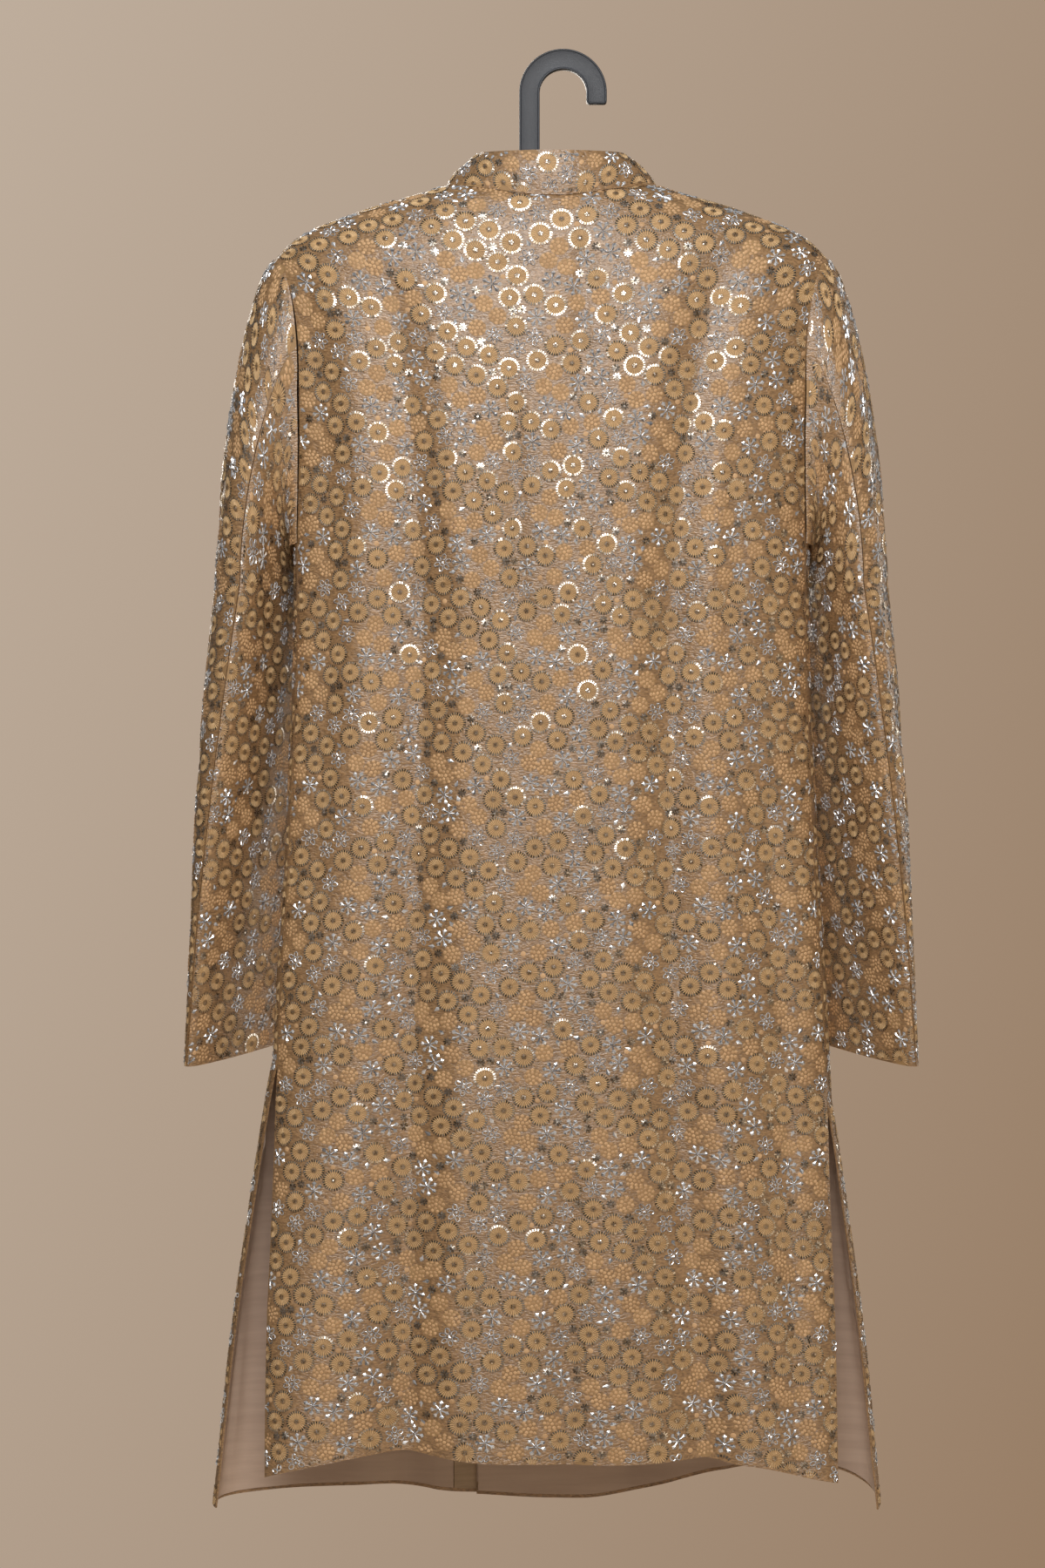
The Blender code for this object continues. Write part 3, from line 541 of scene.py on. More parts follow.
def panel_finder(free_edge, side_edge, columns, front, hem):
    """Gives rows and columns from flat places on the same net, and whether they are on it."""
    top_line = panel_net(free_edge, side_edge, columns, front, hem)[1][0]

    def find(u, v):
        far = GIRTH - np.abs(u) if front else np.abs(u)
        x = BODY.read("half_width", v) * np.interp(far, ROUND, ACROSS)
        roll = FRONT_ROUND if front else BACK_ROUND
        base = RIDGE.read("z", x) - roll
        deep = BODY.read("front" if front else "back", base) * np.abs(np.interp(far, ROUND, DEEP))
        turn = (v - base) / ((roll + deep) / 2)
        z = np.where(v > base, base + roll * np.sin(np.clip(turn, 0, math.pi / 2)), v)
        top = top_edge(u, front)
        for _ in range(3):
            share = np.clip((top - z) / (top - UNDERARM_Z), 0, 1)
            edge = side_edge(np.maximum(level_of(share), UNDERARM_Z))
            near = free_edge(edge)
            c = (u - near) / (edge - near) * columns
            top = np.interp(c, np.arange(columns + 1), top_line)
        under = (UNDERARM_Z - z) / (UNDERARM_Z - hem(u))
        r = np.where(z > UNDERARM_Z, UPPER * share ** (1 / TOWARDS_EDGE), UPPER + LOWER * under)
        on = (r > 0.5) & (r < UPPER + LOWER - 0.5) & (c > 0.35) & (c < columns - 0.35)
        return r, c, on & (turn < math.pi / 2) & (z < top)

    return find


print("a net has", UPPER + LOWER + 1, "rows")


# %% The back
def back_side(level):
    return np.where(level > UNDERARM_Z, back_armhole(level), SEAM_W) - SEAM / 2


BACK_COLUMNS = round(2 * SEAM_W / CELL)


def sink_neck(piece):
    """Draws the cloth in along the collar's seam."""
    deep, wide = 0.0016, 0.0035
    down = lengths(np.diff(piece.points, axis=0, prepend=piece.points[:1])).cumsum(axis=0)
    near = np.abs(piece.points[:1, :, 0]) < NECK_HALF
    dent = deep * np.exp(-((down / wide) ** 2)) * near
    piece.points = piece.points - piece.normals * dent[..., None]


BACK_NET = (lambda far: -far, back_side, BACK_COLUMNS, False, lambda w: HEM_BACK.read("z", w))
places, heights = panel_net(*BACK_NET)
back = Piece("coat_back", body(places, heights, "back"), CLOTH, panel_finder(*BACK_NET))
sink_neck(back)
back.say_cut()


# %% The two fronts
def front_side(level):
    edge = np.where(level > UNDERARM_Z, front_armhole(level), SEAM_W)
    return GIRTH - edge - SEAM / 2


FRONT_PAST = {-1: LEFT_EDGE, 1: RIGHT_EDGE}
FRONT_HEM = {-1: "left", 1: "right"}


def lay_front(side):
    past, hem = FRONT_PAST[side], FRONT_HEM[side]
    columns = round((GIRTH - SEAM_W + past) / CELL)
    net = (lambda far: -past + 0 * far, front_side, columns, True, lambda q: HEM_FRONT.read(hem, q))
    q, z = panel_net(*net)
    w = np.where(q < 0, -side, side) * (GIRTH - np.abs(q))
    under = smooth(LAP_ENDS, LEFT_EDGE, q) if side > 0 else np.zeros(q.shape)
    points = body(w, z, "front", LAYER * under)
    find_flat = panel_finder(*net)
    if side > 0:
        points = points[:, ::-1]

    def find(u, v):
        r, c, on = find_flat(u, v)
        on = on & ((u > LEFT_EDGE + 0.002) | (side < 0))
        return r, (columns - c if side > 0 else c), on

    piece = Piece(f"coat_front_{hem}", points, CLOTH, find)
    sink_neck(piece)
    piece.say_cut()
    return piece


front_left, front_right = lay_front(-1), lay_front(1)

# %% [markdown]
# ## Sleeves
#
# A two-piece sleeve hangs flattened, with its hind edge towards us and its fore edge swung to the
# front of the coat. Its sections are two bulging sides between those edges. Above the underarm
# each column bends from the armhole seam into the section, on a curve with four control points.

# %% The sleeve's sections by height
SLEEVE = Table(
    ("z", "hind_x", "hind_y", "fore_x", "fore_y", "outer", "inner", "rise"),
    [
        (-0.803, 0.2965, 0.000, 0.2150, 0.118, 0.0130, 0.0115, 0.018),
        (-0.700, 0.2870, -0.020, 0.2110, 0.118, 0.0230, 0.0140, 0.012),
        (-0.600, 0.2755, -0.033, 0.2080, 0.118, 0.0340, 0.0170, 0.006),
        (-0.500, 0.2620, -0.041, 0.2060, 0.116, 0.0390, 0.0170, 0.002),
        (-0.420, 0.2500, -0.045, 0.2050, 0.115, 0.0400, 0.0155, 0.000),
    ],
)
SLEEVE_TOP_Z = -0.420
CUFF_Z = -0.803
FORE_SEAM = math.pi + 0.35  # angle of the fore seam; the hind seam is at angle 0
SEAM_ANGLE = 0.004
HIND_SEAM_LEVEL = 0.33      # where each seam meets the armhole, as a share of its height
FORE_SEAM_LEVEL = 0.77
CAP_ROWS = 46
ARM_ROWS = 76
CAP_SLOPE = 0.28            # how steeply the cap leaves the armhole
TUBE = 0.083                # half the flattened width, which turns an angle into a distance
# Creases of the right and the left sleeve: from (angle, z) to (angle, z), depth, width.
SLEEVE_CREASES = {
    1: [
        (0.9, -0.36, 1.5, -0.44, 0.0030, 0.016),
        (0.5, -0.50, 1.0, -0.62, 0.0022, 0.014),
        (0.7, -0.66, 1.5, -0.60, 0.0024, 0.012),
        (5.6, -0.42, 5.0, -0.50, 0.0026, 0.014),
        (5.7, -0.58, 4.9, -0.64, 0.0020, 0.012),
    ],
    -1: [
        (0.7, -0.34, 1.3, -0.42, 0.0026, 0.016),
        (0.6, -0.56, 1.3, -0.60, 0.0024, 0.013),
        (0.5, -0.70, 1.1, -0.66, 0.0020, 0.012),
        (5.5, -0.40, 5.1, -0.52, 0.0030, 0.014),
        (5.8, -0.62, 5.1, -0.58, 0.0022, 0.012),
    ],
}
print("sleeve length below the underarm", round(SLEEVE_TOP_Z - CUFF_Z, 3), "m")


# %% A section of the sleeve
def sleeve_section(angle, z):
    hind = np.stack([SLEEVE.read("hind_x", z), SLEEVE.read("hind_y", z)], -1)
    fore = np.stack([SLEEVE.read("fore_x", z), SLEEVE.read("fore_y", z)], -1)
    middle, reach = (hind + fore) / 2, (hind - fore) / 2
    across = np.stack([-reach[..., 1], reach[..., 0]], -1) / lengths(reach)[..., None]
    full = np.where(np.sin(angle) > 0, SLEEVE.read("outer", z), SLEEVE.read("inner", z))
    bulge = full * np.sin(angle)
    place = middle + reach * np.cos(angle)[..., None] + across * bulge[..., None]
    height = z - SLEEVE.read("rise", z) * np.cos(angle) / 2
    return np.concatenate([place, height[..., None]], axis=-1)


# %% The armhole, from the underarm up the back, over the shoulder and down the front
def armhole():
    back_edge, front_edge = back.points[: UPPER + 1, -1], front_right.points[: UPPER + 1, 0]
    back_out, front_out = back.normals[: UPPER + 1, -1], front_right.normals[: UPPER + 1, 0]
    line = np.concatenate([back_edge[::-1], front_edge[1:]])
    facing = np.concatenate([back_out[::-1], front_out[1:]])
    distance = added_up(lengths(np.diff(line, axis=0)))
    up, down = slice(UPPER + 1), slice(UPPER + 1, None)
    hind = float(np.interp(level_of(HIND_SEAM_LEVEL), line[up, 2], distance[up]))
    fore = float(np.interp(-level_of(FORE_SEAM_LEVEL), -line[down, 2], distance[down]))
    return line, facing, distance, hind, fore


def grid_finder(points):
    """Flat places on a net of nearly even rows: u from its middle, v down from its top."""
    v_of_row = -added_up(lengths(np.diff(points, axis=0)).mean(axis=1))
    across = lengths(np.diff(points, axis=1))
    width = across.sum(axis=1)
    share = added_up((across / width[:, None]).mean(axis=0))
    rows, columns = points.shape[:2]

    def find(u, v):
        r = np.interp(-v, -v_of_row, np.arange(rows))
        c = np.interp(u / np.interp(r, np.arange(rows), width) + 0.5, share, np.arange(columns))
        on = (v < -0.002) & (v > v_of_row[-1] + 0.002) & (c > 0.4) & (c < columns - 1.4)
        return r, c, on

    return find


def along_line(at, distance, line):
    """Points or directions of a line at some distances along it."""
    return np.stack([np.interp(at, distance, line[:, i]) for i in range(3)], axis=-1)


def lay_sleeve(side, part, seam_low, seam_high, angle_low, angle_high, columns):
    line, facing, distance, _, _ = armhole()
    at = np.linspace(seam_low, seam_high, columns + 1)
    angle = angle_low + (angle_high - angle_low) * (at - at[0]) / (at[-1] - at[0])
    at = at % distance[-1]
    start, out_there = along_line(at, distance, line), along_line(at, distance, facing)
    end = sleeve_section(angle, np.full(len(at), SLEEVE_TOP_Z))
    drop = (start[:, 2] - end[:, 2])[:, None]
    out = np.array([[1.0, 0.0, -CAP_SLOPE]]) / math.hypot(1.0, CAP_SLOPE)
    folded = smooth(-0.170, -0.290, start[:, 2:])
    start = start + out_there * 0.0002 + out * CLOTH * 1.3 * folded
    first = start + out * (0.008 + 0.05 * drop)
    second = end + np.array([[0.0, 0.0, 1.0]]) * (0.006 + 0.40 * drop)
    rows = []
    for t in np.linspace(0, 1, CAP_ROWS + 1) ** 1.3:
        row = start * (1 - t) ** 3 + first * 3 * t * (1 - t) ** 2
        rows.append(row + second * 3 * t * t * (1 - t) + end * t ** 3)
    for z in np.linspace(SLEEVE_TOP_Z, CUFF_Z, ARM_ROWS + 1)[1:]:
        rows.append(sleeve_section(angle, np.full(len(at), z)))
    points = np.array(rows)
    plain = Piece("plain", points, CLOTH, None)
    dents = [(a * TUBE, b, c * TUBE, d, e, f) for a, b, c, d, e, f in SLEEVE_CREASES[side]]
    sink = crease_depth(angle[None, :] * TUBE, points[..., 2], dents)
    points = points - plain.normals * sink[..., None]
    if side < 0:
        points = (points * np.array([-1, 1, 1]))[:, ::-1]
    name = "left" if side < 0 else "right"
    piece = Piece(f"sleeve_{name}_{part}_cloth", points, CLOTH, grid_finder(points))
    piece.say_cut()
    return piece


_, _, armhole_distance, HIND, FORE = armhole()
LAP = armhole_distance[-1]
sleeves = []
for side in (-1, 1):
    upper_part = HIND, FORE, SEAM_ANGLE, FORE_SEAM - SEAM_ANGLE
    under_part = FORE, LAP + HIND, FORE_SEAM + SEAM_ANGLE, 2 * math.pi - SEAM_ANGLE
    sleeves.append(lay_sleeve(side, "upper", *upper_part, 46))
    sleeves.append(lay_sleeve(side, "under", *under_part, 32))

# %% [markdown]
# ## Collar
#
# The band collar stands on the neckline and leans in, because it is cut shorter along its top.
# Its foot follows the neckline from one front end round the back to the other.

# %% The collar's net
COLLAR_TOP_HALF = 0.057
COLLAR_TOP_BACK = -0.041
COLLAR_TOP_FRONT = 0.058
COLLAR_TOP_Z = -0.069
COLLAR_ENDS_Z = -0.128
COLLAR_OPENS = 0.0012       # from each front end to the centre front
NECK_DEEP = 0.060
COLLAR_COLUMNS, COLLAR_ROWS = 96, 12


def neck_seam():
    x = NECK_HALF * np.sin(np.linspace(0, math.pi / 2, 400))
    front_z = neckline_front(x)
    front = body(round_at(x, front_z, front=True), front_z, "front")
    back_z = neckline_back(x)
    behind = body(round_at(x, back_z), back_z, "back")
    right = np.concatenate([front, behind[::-1][1:]])
    return np.concatenate([right * np.array([-1, 1, 1]), right[::-1][1:]])


def lay_collar():
    seam = neck_seam()
    distance = added_up(lengths(np.diff(seam, axis=0)))
    at = np.linspace(COLLAR_OPENS, distance[-1] - COLLAR_OPENS, COLLAR_COLUMNS + 1)
    foot = along_line(at, distance, seam)
    turn = np.arctan2(foot[:, 0] / NECK_HALF, -foot[:, 1] / NECK_DEEP)
    depth = np.where(np.cos(turn) > 0, -COLLAR_TOP_BACK, COLLAR_TOP_FRONT)
    top_x = COLLAR_TOP_HALF * np.sin(turn)
    top_y = -depth * np.cos(turn)
    top_x = np.where(np.abs(np.sin(turn)) < 1e-9, foot[:, 0], top_x)
    forward = smooth(-0.005, COLLAR_TOP_FRONT, top_y)
    back_share = smooth(0.02, COLLAR_TOP_BACK, top_y)
    top_z = COLLAR_TOP_Z - 0.004 * back_share + (COLLAR_ENDS_Z - COLLAR_TOP_Z) * forward
    top = np.stack([top_x, top_y, top_z], axis=-1)
    out = np.stack([np.sin(turn), -np.cos(turn), np.full(len(turn), 0.4)], axis=-1)
    pinch = 0.0013 * np.exp(-(((at - distance[-1] / 2 - 0.002) / 0.0035) ** 2))
    net = []
    for share in np.linspace(0, 1, COLLAR_ROWS + 1):
        bow = math.sin(math.pi * share)
        swell = 0.0025 * bow - 0.0008 * share
        net.append(top * (1 - share) + foot * share + out * (swell - pinch[:, None] * bow))
    points = np.array(net)
    piece = Piece("collar_band", points, COLLAR_WALL, grid_finder(points))
    piece.say_cut()
    return piece


collar = lay_collar()

# %% [markdown]
# ## Finishes
#
# Two effects are used by several cloths, so each is a node group that puts out a height and a
# tone: the crinkle of dense machine stitching, and a plain weave with thicker slub threads.
# Both are made from noise in the coat's own space, stretched so that stitches lie level. The stitches'
# tone mostly follows their height, so their hollows come out darker: painted shade.


# %% Helpers for materials
def new_material(name):
    material = bpy.data.materials.new(name)
    material.use_nodes = True
    return material, material.node_tree, material.node_tree.nodes["Principled BSDF"]


def add_node(tree, kind, **values):
    node = tree.nodes.new(kind)
    for key, value in values.items():
        if key in node.inputs:
            node.inputs[key].default_value = value
        else:
            setattr(node, key, value)
    return node


def ramp_between(tree, factor, dark, light, low=0.0, high=1.0):
    node = tree.nodes.new("ShaderNodeValToRGB")
    first, last = node.color_ramp.elements
    first.position, last.position = low, high
    first.color, last.color = (*dark, 1), (*light, 1)
    tree.links.new(factor, node.inputs[0])
    return node.outputs["Color"]


def raise_bump(tree, shader, height, distance):
    bump = add_node(tree, "ShaderNodeBump", Strength=1.0, Distance=distance)
    tree.links.new(height, bump.inputs["Height"])
    tree.links.new(bump.outputs["Normal"], shader.inputs["Normal"])


print("material helpers ready")


# %% The node group for crinkled stitches
def stretched_noise(tree, stretch, scale, detail):
    place = tree.nodes.new("ShaderNodeTexCoord")
    mapping = add_node(tree, "ShaderNodeMapping", Scale=stretch)
    noise = add_node(tree, "ShaderNodeTexNoise", Scale=scale, Detail=detail, Roughness=0.55)
    tree.links.new(place.outputs["Object"], mapping.inputs["Vector"])
    tree.links.new(mapping.outputs["Vector"], noise.inputs["Vector"])
    return noise


def new_group(name, inputs, outputs):
    group = bpy.data.node_groups.new(name, "ShaderNodeTree")
    for label, value in inputs.items():
        socket = group.interface.new_socket(label, in_out="INPUT", socket_type="NodeSocketFloat")
        socket.default_value = value
    for label in outputs:
        group.interface.new_socket(label, in_out="OUTPUT", socket_type="NodeSocketFloat")
    return group, group.nodes.new("NodeGroupInput"), group.nodes.new("NodeGroupOutput")


def stitch_group():
    sizes = {"Size": 320.0, "Blotch": 26.0}
    group, given, out = new_group("crinkled_stitches_shaded_hollows", sizes, ("Height", "Tone"))
    fine = stretched_noise(group, (1.0, 1.0, 2.3), 320.0, 2.0)
    broad = stretched_noise(group, (1.0, 1.0, 0.7), 26.0, 3.0)
    group.links.new(given.outputs["Size"], fine.inputs["Scale"])
    group.links.new(given.outputs["Blotch"], broad.inputs["Scale"])
    # The tone is mostly the same noise as the height, so the crinkle's hollows are darker: painted shade
    # over a random tone.
    sum_up = add_node(group, "ShaderNodeMix", data_type="FLOAT")
    sum_up.inputs[0].default_value = 0.15
    group.links.new(fine.outputs[0], sum_up.inputs[2])
    group.links.new(broad.outputs[0], sum_up.inputs[3])
    group.links.new(fine.outputs[0], out.inputs["Height"])
    group.links.new(sum_up.outputs[0], out.inputs["Tone"])
    return group


STITCHES = stitch_group()
print("group", STITCHES.name)


# %% The node group for a plain weave with slubs
def weave_group():
    sizes = {"Threads": 900.0, "Slubs": 60.0}
    group, given, out = new_group("slubbed_weave", sizes, ("Height", "Tone"))
    level = stretched_noise(group, (0.25, 0.25, 4.0), 900.0, 1.0)
    slubs = stretched_noise(group, (0.22, 0.22, 3.0), 60.0, 4.0)
    group.links.new(given.outputs["Threads"], level.inputs["Scale"])
    group.links.new(given.outputs["Slubs"], slubs.inputs["Scale"])
    group.links.new(level.outputs[0], out.inputs["Height"])
    group.links.new(slubs.outputs[0], out.inputs["Tone"])
    return group


WEAVE = weave_group()
print("group", WEAVE.name)


# %% Cloths
SILK_IOR = 1.58


def place_group(tree, group, **values):
    node = tree.nodes.new("ShaderNodeGroup")
    node.node_tree = group
    for key, value in values.items():
        node.inputs[key].default_value = value
    return node


def cloth_material(name, group, dark, light, roughness, gloss, sheen, bump, **values):
    material, tree, shader = new_material(name)
    surface = place_group(tree, group, **values)
    colour = ramp_between(tree, surface.outputs["Tone"], dark, light, 0.36, 0.64)
    tree.links.new(colour, shader.inputs["Base Color"])
    raise_bump(tree, shader, surface.outputs["Height"], bump)
    shader.inputs["Roughness"].default_value = roughness
    shader.inputs["Specular IOR Level"].default_value = gloss
    shader.inputs["IOR"].default_value = SILK_IOR
    shader.inputs["Sheen Weight"].default_value = sheen
    shader.inputs["Sheen Roughness"].default_value = 0.4
    return material


# The ground's tone varies at random and is darker in the stitches' hollows: painted shade.
ground = cloth_material(
    "embroidered_ground", STITCHES, (0.220, 0.124, 0.053), (0.460, 0.270, 0.125),
    roughness=0.36, gloss=1.0, sheen=0.02, bump=0.0010,
)
satin = cloth_material(
    "satin_lining", WEAVE, (0.53, 0.395, 0.315), (0.60, 0.460, 0.370),
    roughness=0.38, gloss=0.7, sheen=0.0, bump=0.0001,
)
raw_silk = cloth_material(
    "raw_silk_facing", WEAVE, (0.42, 0.31, 0.21), (0.56, 0.43, 0.30),
    roughness=0.58, gloss=0.5, sheen=0.1, bump=0.0004, Threads=700.0,
)
print("cloths", ground.name, satin.name, raw_silk.name)


# %% Threads, sequins and beads
def island_shade(tree, dark, light, low=0.0, high=1.0):
    """Every stitch or sequin is an island of its mesh and gets a shade of its own."""
    geometry = tree.nodes.new("ShaderNodeNewGeometry")
    return ramp_between(tree, geometry.outputs["Random Per Island"], dark, light, low, high)


def thread_material(name, dark, light):
    material, tree, shader = new_material(name)
    tree.links.new(island_shade(tree, dark, light), shader.inputs["Base Color"])
    surface = place_group(tree, STITCHES, Size=1500.0)
    raise_bump(tree, shader, surface.outputs["Height"], 0.0003)
    shader.inputs["Roughness"].default_value = 0.45
    shader.inputs["Specular IOR Level"].default_value = 0.5
    shader.inputs["IOR"].default_value = 1.5
    shader.inputs["Sheen Weight"].default_value = 0.03
    return material


def foil_material(name, dark, light, roughness, metal, low=0.0, high=1.0):
    material, tree, shader = new_material(name)
    tree.links.new(island_shade(tree, dark, light, low, high), shader.inputs["Base Color"])
    shader.inputs["Metallic"].default_value = metal
    shader.inputs["Roughness"].default_value = roughness
    return material


spoke_thread = thread_material("spoke_thread", (0.67, 0.445, 0.225), (0.87, 0.61, 0.325))
# The disc thread also lies under the knot clusters, where its darker tone is a painted shadow between the
# knots.
disc_thread_and_knot_shadow = thread_material("disc_thread_and_knot_shadow", (0.34, 0.205, 0.092), (0.46, 0.285, 0.130))
knot_thread = thread_material("knot_thread", (0.53, 0.320, 0.160), (0.80, 0.510, 0.270))
sequin_foil = foil_material("sequin_foil", (0.17, 0.14, 0.10), (0.74, 0.71, 0.66), 0.27, 0.92)
silver_bead = foil_material("silver_bead", (0.22, 0.24, 0.27), (0.93, 0.96, 1.00), 0.24, 0.60, 0.0, 0.6)
print("five finishes for the embroidery")

# %% [markdown]
# ## The embroidery's repeat
#
# The design repeats every 140 by 100 mm. Real designers fill a tile so that it joins itself on
# all sides; here motifs are thrown on the tile, and then push each other apart, over its edges
# too, until none overlap. Wheels draw towards wheels, and clusters of knots towards knots.

# %% Fill one repeat
REPEAT = np.array([0.140, 0.100])
SKEW = 0.004                # each repeat down the cloth lies this far aside
ELBOW_ROOM = 1.08           # motifs keep apart by this share of their two radii
MOTIFS = [
    # kind, how many in a repeat, radius, how strongly alike ones keep together
    ("wheel", 20, 0.0086, 0.30),
    ("drop_flower", 10, 0.0079, 0.10),
    ("loop_flower", 7, 0.0077, 0.00),
    ("knot_cluster", 12, 0.0066, 0.20),
    ("spark", 12, 0.0034, 0.15),
    ("leaf", 7, 0.0027, 0.00),
    ("dot", 9, 0.0017, 0.00),
]


def fill_repeat(rounds=500):
    """Motifs thrown at random, which then push each other apart until they share the tile."""
    chance = np.random.default_rng(24)
    kind = np.repeat(np.arange(len(MOTIFS)), [m[1] for m in MOTIFS])
    radius = np.array([m[2] for m in MOTIFS])[kind]
    keep = np.array([m[3] for m in MOTIFS])[kind]
    at = chance.uniform((0, 0), REPEAT, (len(kind), 2))
    others = ~np.eye(len(kind), dtype=bool)
    alike = (kind[:, None] == kind) & others
    for step in range(rounds):
        gap = at[:, None] - at
        gap -= REPEAT * np.round(gap / REPEAT)
        distance = np.hypot(gap[..., 0], gap[..., 1]) + 1e-9
        touch = (radius[:, None] + radius) * ELBOW_ROOM
        push = np.clip(touch - distance, 0, None) * others
        near = alike & (distance > touch) & (distance < touch * 1.9)
        pull = near * (distance - touch) * keep[:, None] * (0.10 if step < rounds * 0.7 else 0.0)
        move = (gap / distance[..., None] * (push * 0.45 - pull)[..., None]).sum(axis=1)
        at = (at + move) % REPEAT
    left = np.clip(touch / ELBOW_ROOM - distance, 0, None) * others
    print("motifs in a repeat", len(kind), "largest overlap", round(float(left.max()) * 1000, 2), "mm")
    return {m[0]: at[kind == n] for n, m in enumerate(MOTIFS)}


DESIGN = fill_repeat()


# %% Tile a repeat over a piece
def motif_places(kind, low, high, origin, seed):
    """Places and turns of one kind of motif over the flat cut from low to high."""
    chance = np.random.default_rng(seed)
    low, high = np.array(low) - 0.02, np.array(high) + 0.02
    first = np.floor((low - origin) / REPEAT).astype(int) - 1
    last = np.ceil((high - origin) / REPEAT).astype(int) + 1
    found = []
    for i in range(first[0], last[0]):
        for j in range(first[1], last[1]):
            shift = origin + np.array([i, j]) * REPEAT + np.array([SKEW * j, 0.0])
            found.append(DESIGN[kind] + shift)
    found = np.concatenate(found)
    found = found[((found > low) & (found < high)).all(axis=1)]
    found = found + chance.normal(0, 0.0004, found.shape)
    return np.column_stack([found, chance.uniform(0, 2 * math.pi, len(found))])


# %% [markdown]
# ## Stitches and sequins
#
# Every stitch, sequin and bead is a little shape of a few faces, given in millimetres: x points
# away from the motif's centre, and the last value is its height over the cloth. A sequin is a
# flat foil. A wheel of them leans a little its own way, so one wheel flashes whole, another on
# one side, and a third stays dark. A stitch is a roof over the cloth, a knot a dome, and a bead
# a small cut stone.


# %% The shapes of the stitches
def roof(length, inner, outer, tall):
    half = length / 2
    left = [(-half, -inner, 0.1), (half, -outer, 0.1)]
    crest = [(-half, 0, tall), (half, 0, tall * 0.8)]
    right = [(-half, inner, 0.1), (half, outer, 0.1)]
    return np.array(left + crest + right), np.array([(0, 1, 3, 2), (2, 3, 5, 4)]), None


def foil(length, width, inner, outer):
    half = length / 2
    points = [(-half, -width, inner), (half, -width, outer), (half, width, outer), (-half, width, inner)]
    return np.array(points), np.array([(0, 1, 2, 3)]), None


def dome(radius, tall, sides):
    turn = np.linspace(0, 2 * math.pi, sides, endpoint=False)
    rim = np.column_stack([radius * np.cos(turn), radius * np.sin(turn), np.full(sides, 0.08)])
    ring = np.arange(sides)
    triangles = np.column_stack([np.zeros(sides, int), ring + 1, (ring + 1) % sides + 1])
    return np.concatenate([[(0, 0, tall)], rim]), None, triangles


def stone(back, front, wide, tall):
    top, tail, tip = (front * 0.15, 0, tall), (-back, 0, 0.1), (front, 0, 0.1)
    sides = [(front * 0.35, side * wide, 0.15) for side in (-1, 1)]
    points = np.array([top, tail, sides[0], tip, sides[1]])
    return points, None, np.array([(0, 1, 2), (0, 2, 3), (0, 3, 4), (0, 4, 1)])


def loop(long, wide):
    sides, thick = 7, 0.95
    turn = np.linspace(0, 2 * math.pi, sides, endpoint=False)
    circle = np.column_stack([np.cos(turn), np.sin(turn)])
    inner = np.column_stack([circle * (long - thick, wide - thick), np.full(sides, 0.15)])
    crest = np.column_stack([circle * (long - thick / 2, wide - thick / 2), np.full(sides, 0.70)])
    outer = np.column_stack([circle * (long, wide), np.full(sides, 0.1)])
    i, j = np.arange(sides), (np.arange(sides) + 1) % sides
    quads = [np.column_stack([i + a, i + b, j + b, j + a]) for a, b in ((0, sides), (sides, 2 * sides))]
    return np.concatenate([inner, crest, outer]), np.concatenate(quads), None


print("stitch, sequin, knot, bead and loop")


# %% Each motif as rings of stitches
def ring_of(count, radius, phase=0.0):
    """Places of a ring of stitches round a motif's centre, in millimetres, each facing out."""
    turn = np.linspace(0, 2 * math.pi, count, endpoint=False) + phase
    return np.column_stack([radius * np.cos(turn), radius * np.sin(turn), turn])


CENTRE = np.zeros((1, 3))
SPOKES = 25
HALF_SPOKE = math.pi / SPOKES
WORK = {
    # finish: list of (motif, ring, shape)
    "sequins": [
        ("wheel", ring_of(SPOKES, 7.7), foil(1.8, 0.58, 0.68, 0.56)),
        ("wheel", ring_of(5, 1.3), foil(1.0, 0.42, 1.00, 0.92)),
        ("wheel", CENTRE, foil(0.9, 0.4, 1.1, 1.1)),
        ("spark", ring_of(8, 2.2), foil(2.2, 0.55, 0.60, 0.45)),
        ("spark", CENTRE, foil(1.3, 0.65, 0.8, 0.8)),
    ],
    "beads": [
        ("drop_flower", ring_of(7, 5.3), stone(2.3, 2.5, 1.8, 1.3)),
        ("drop_flower", ring_of(7, 2.7), roof(3.0, 0.45, 0.75, 0.9)),
        ("drop_flower", CENTRE, stone(1.3, 1.3, 1.2, 1.1)),
        ("loop_flower", ring_of(6, 4.75), loop(2.95, 2.15)),
        ("loop_flower", CENTRE, stone(1.6, 1.6, 1.5, 1.0)),
        ("leaf", CENTRE, stone(2.9, 2.9, 1.7, 0.8)),
    ],
    "spokes": [
        ("wheel", ring_of(SPOKES, 5.3, HALF_SPOKE), roof(5.6, 0.20, 0.42, 0.70)),
    ],
    "discs_and_knot_shadow": [
        ("wheel", CENTRE, dome(6.7, 0.25, 16)),
        # A darker disc under each knot cluster, so the gaps between the knots read dark: a painted
        # shadow.
        ("knot_cluster", CENTRE, dome(6.9, 0.15, 12)),
    ],
    "knots": [
        ("knot_cluster", CENTRE, dome(1.6, 1.15, 5)),
        ("knot_cluster", ring_of(6, 3.25), dome(1.5, 1.10, 5)),
        ("knot_cluster", ring_of(9, 5.7, 0.3), dome(1.45, 1.0, 5)),
        ("dot", CENTRE, dome(2.1, 0.8, 8)),
    ],
}
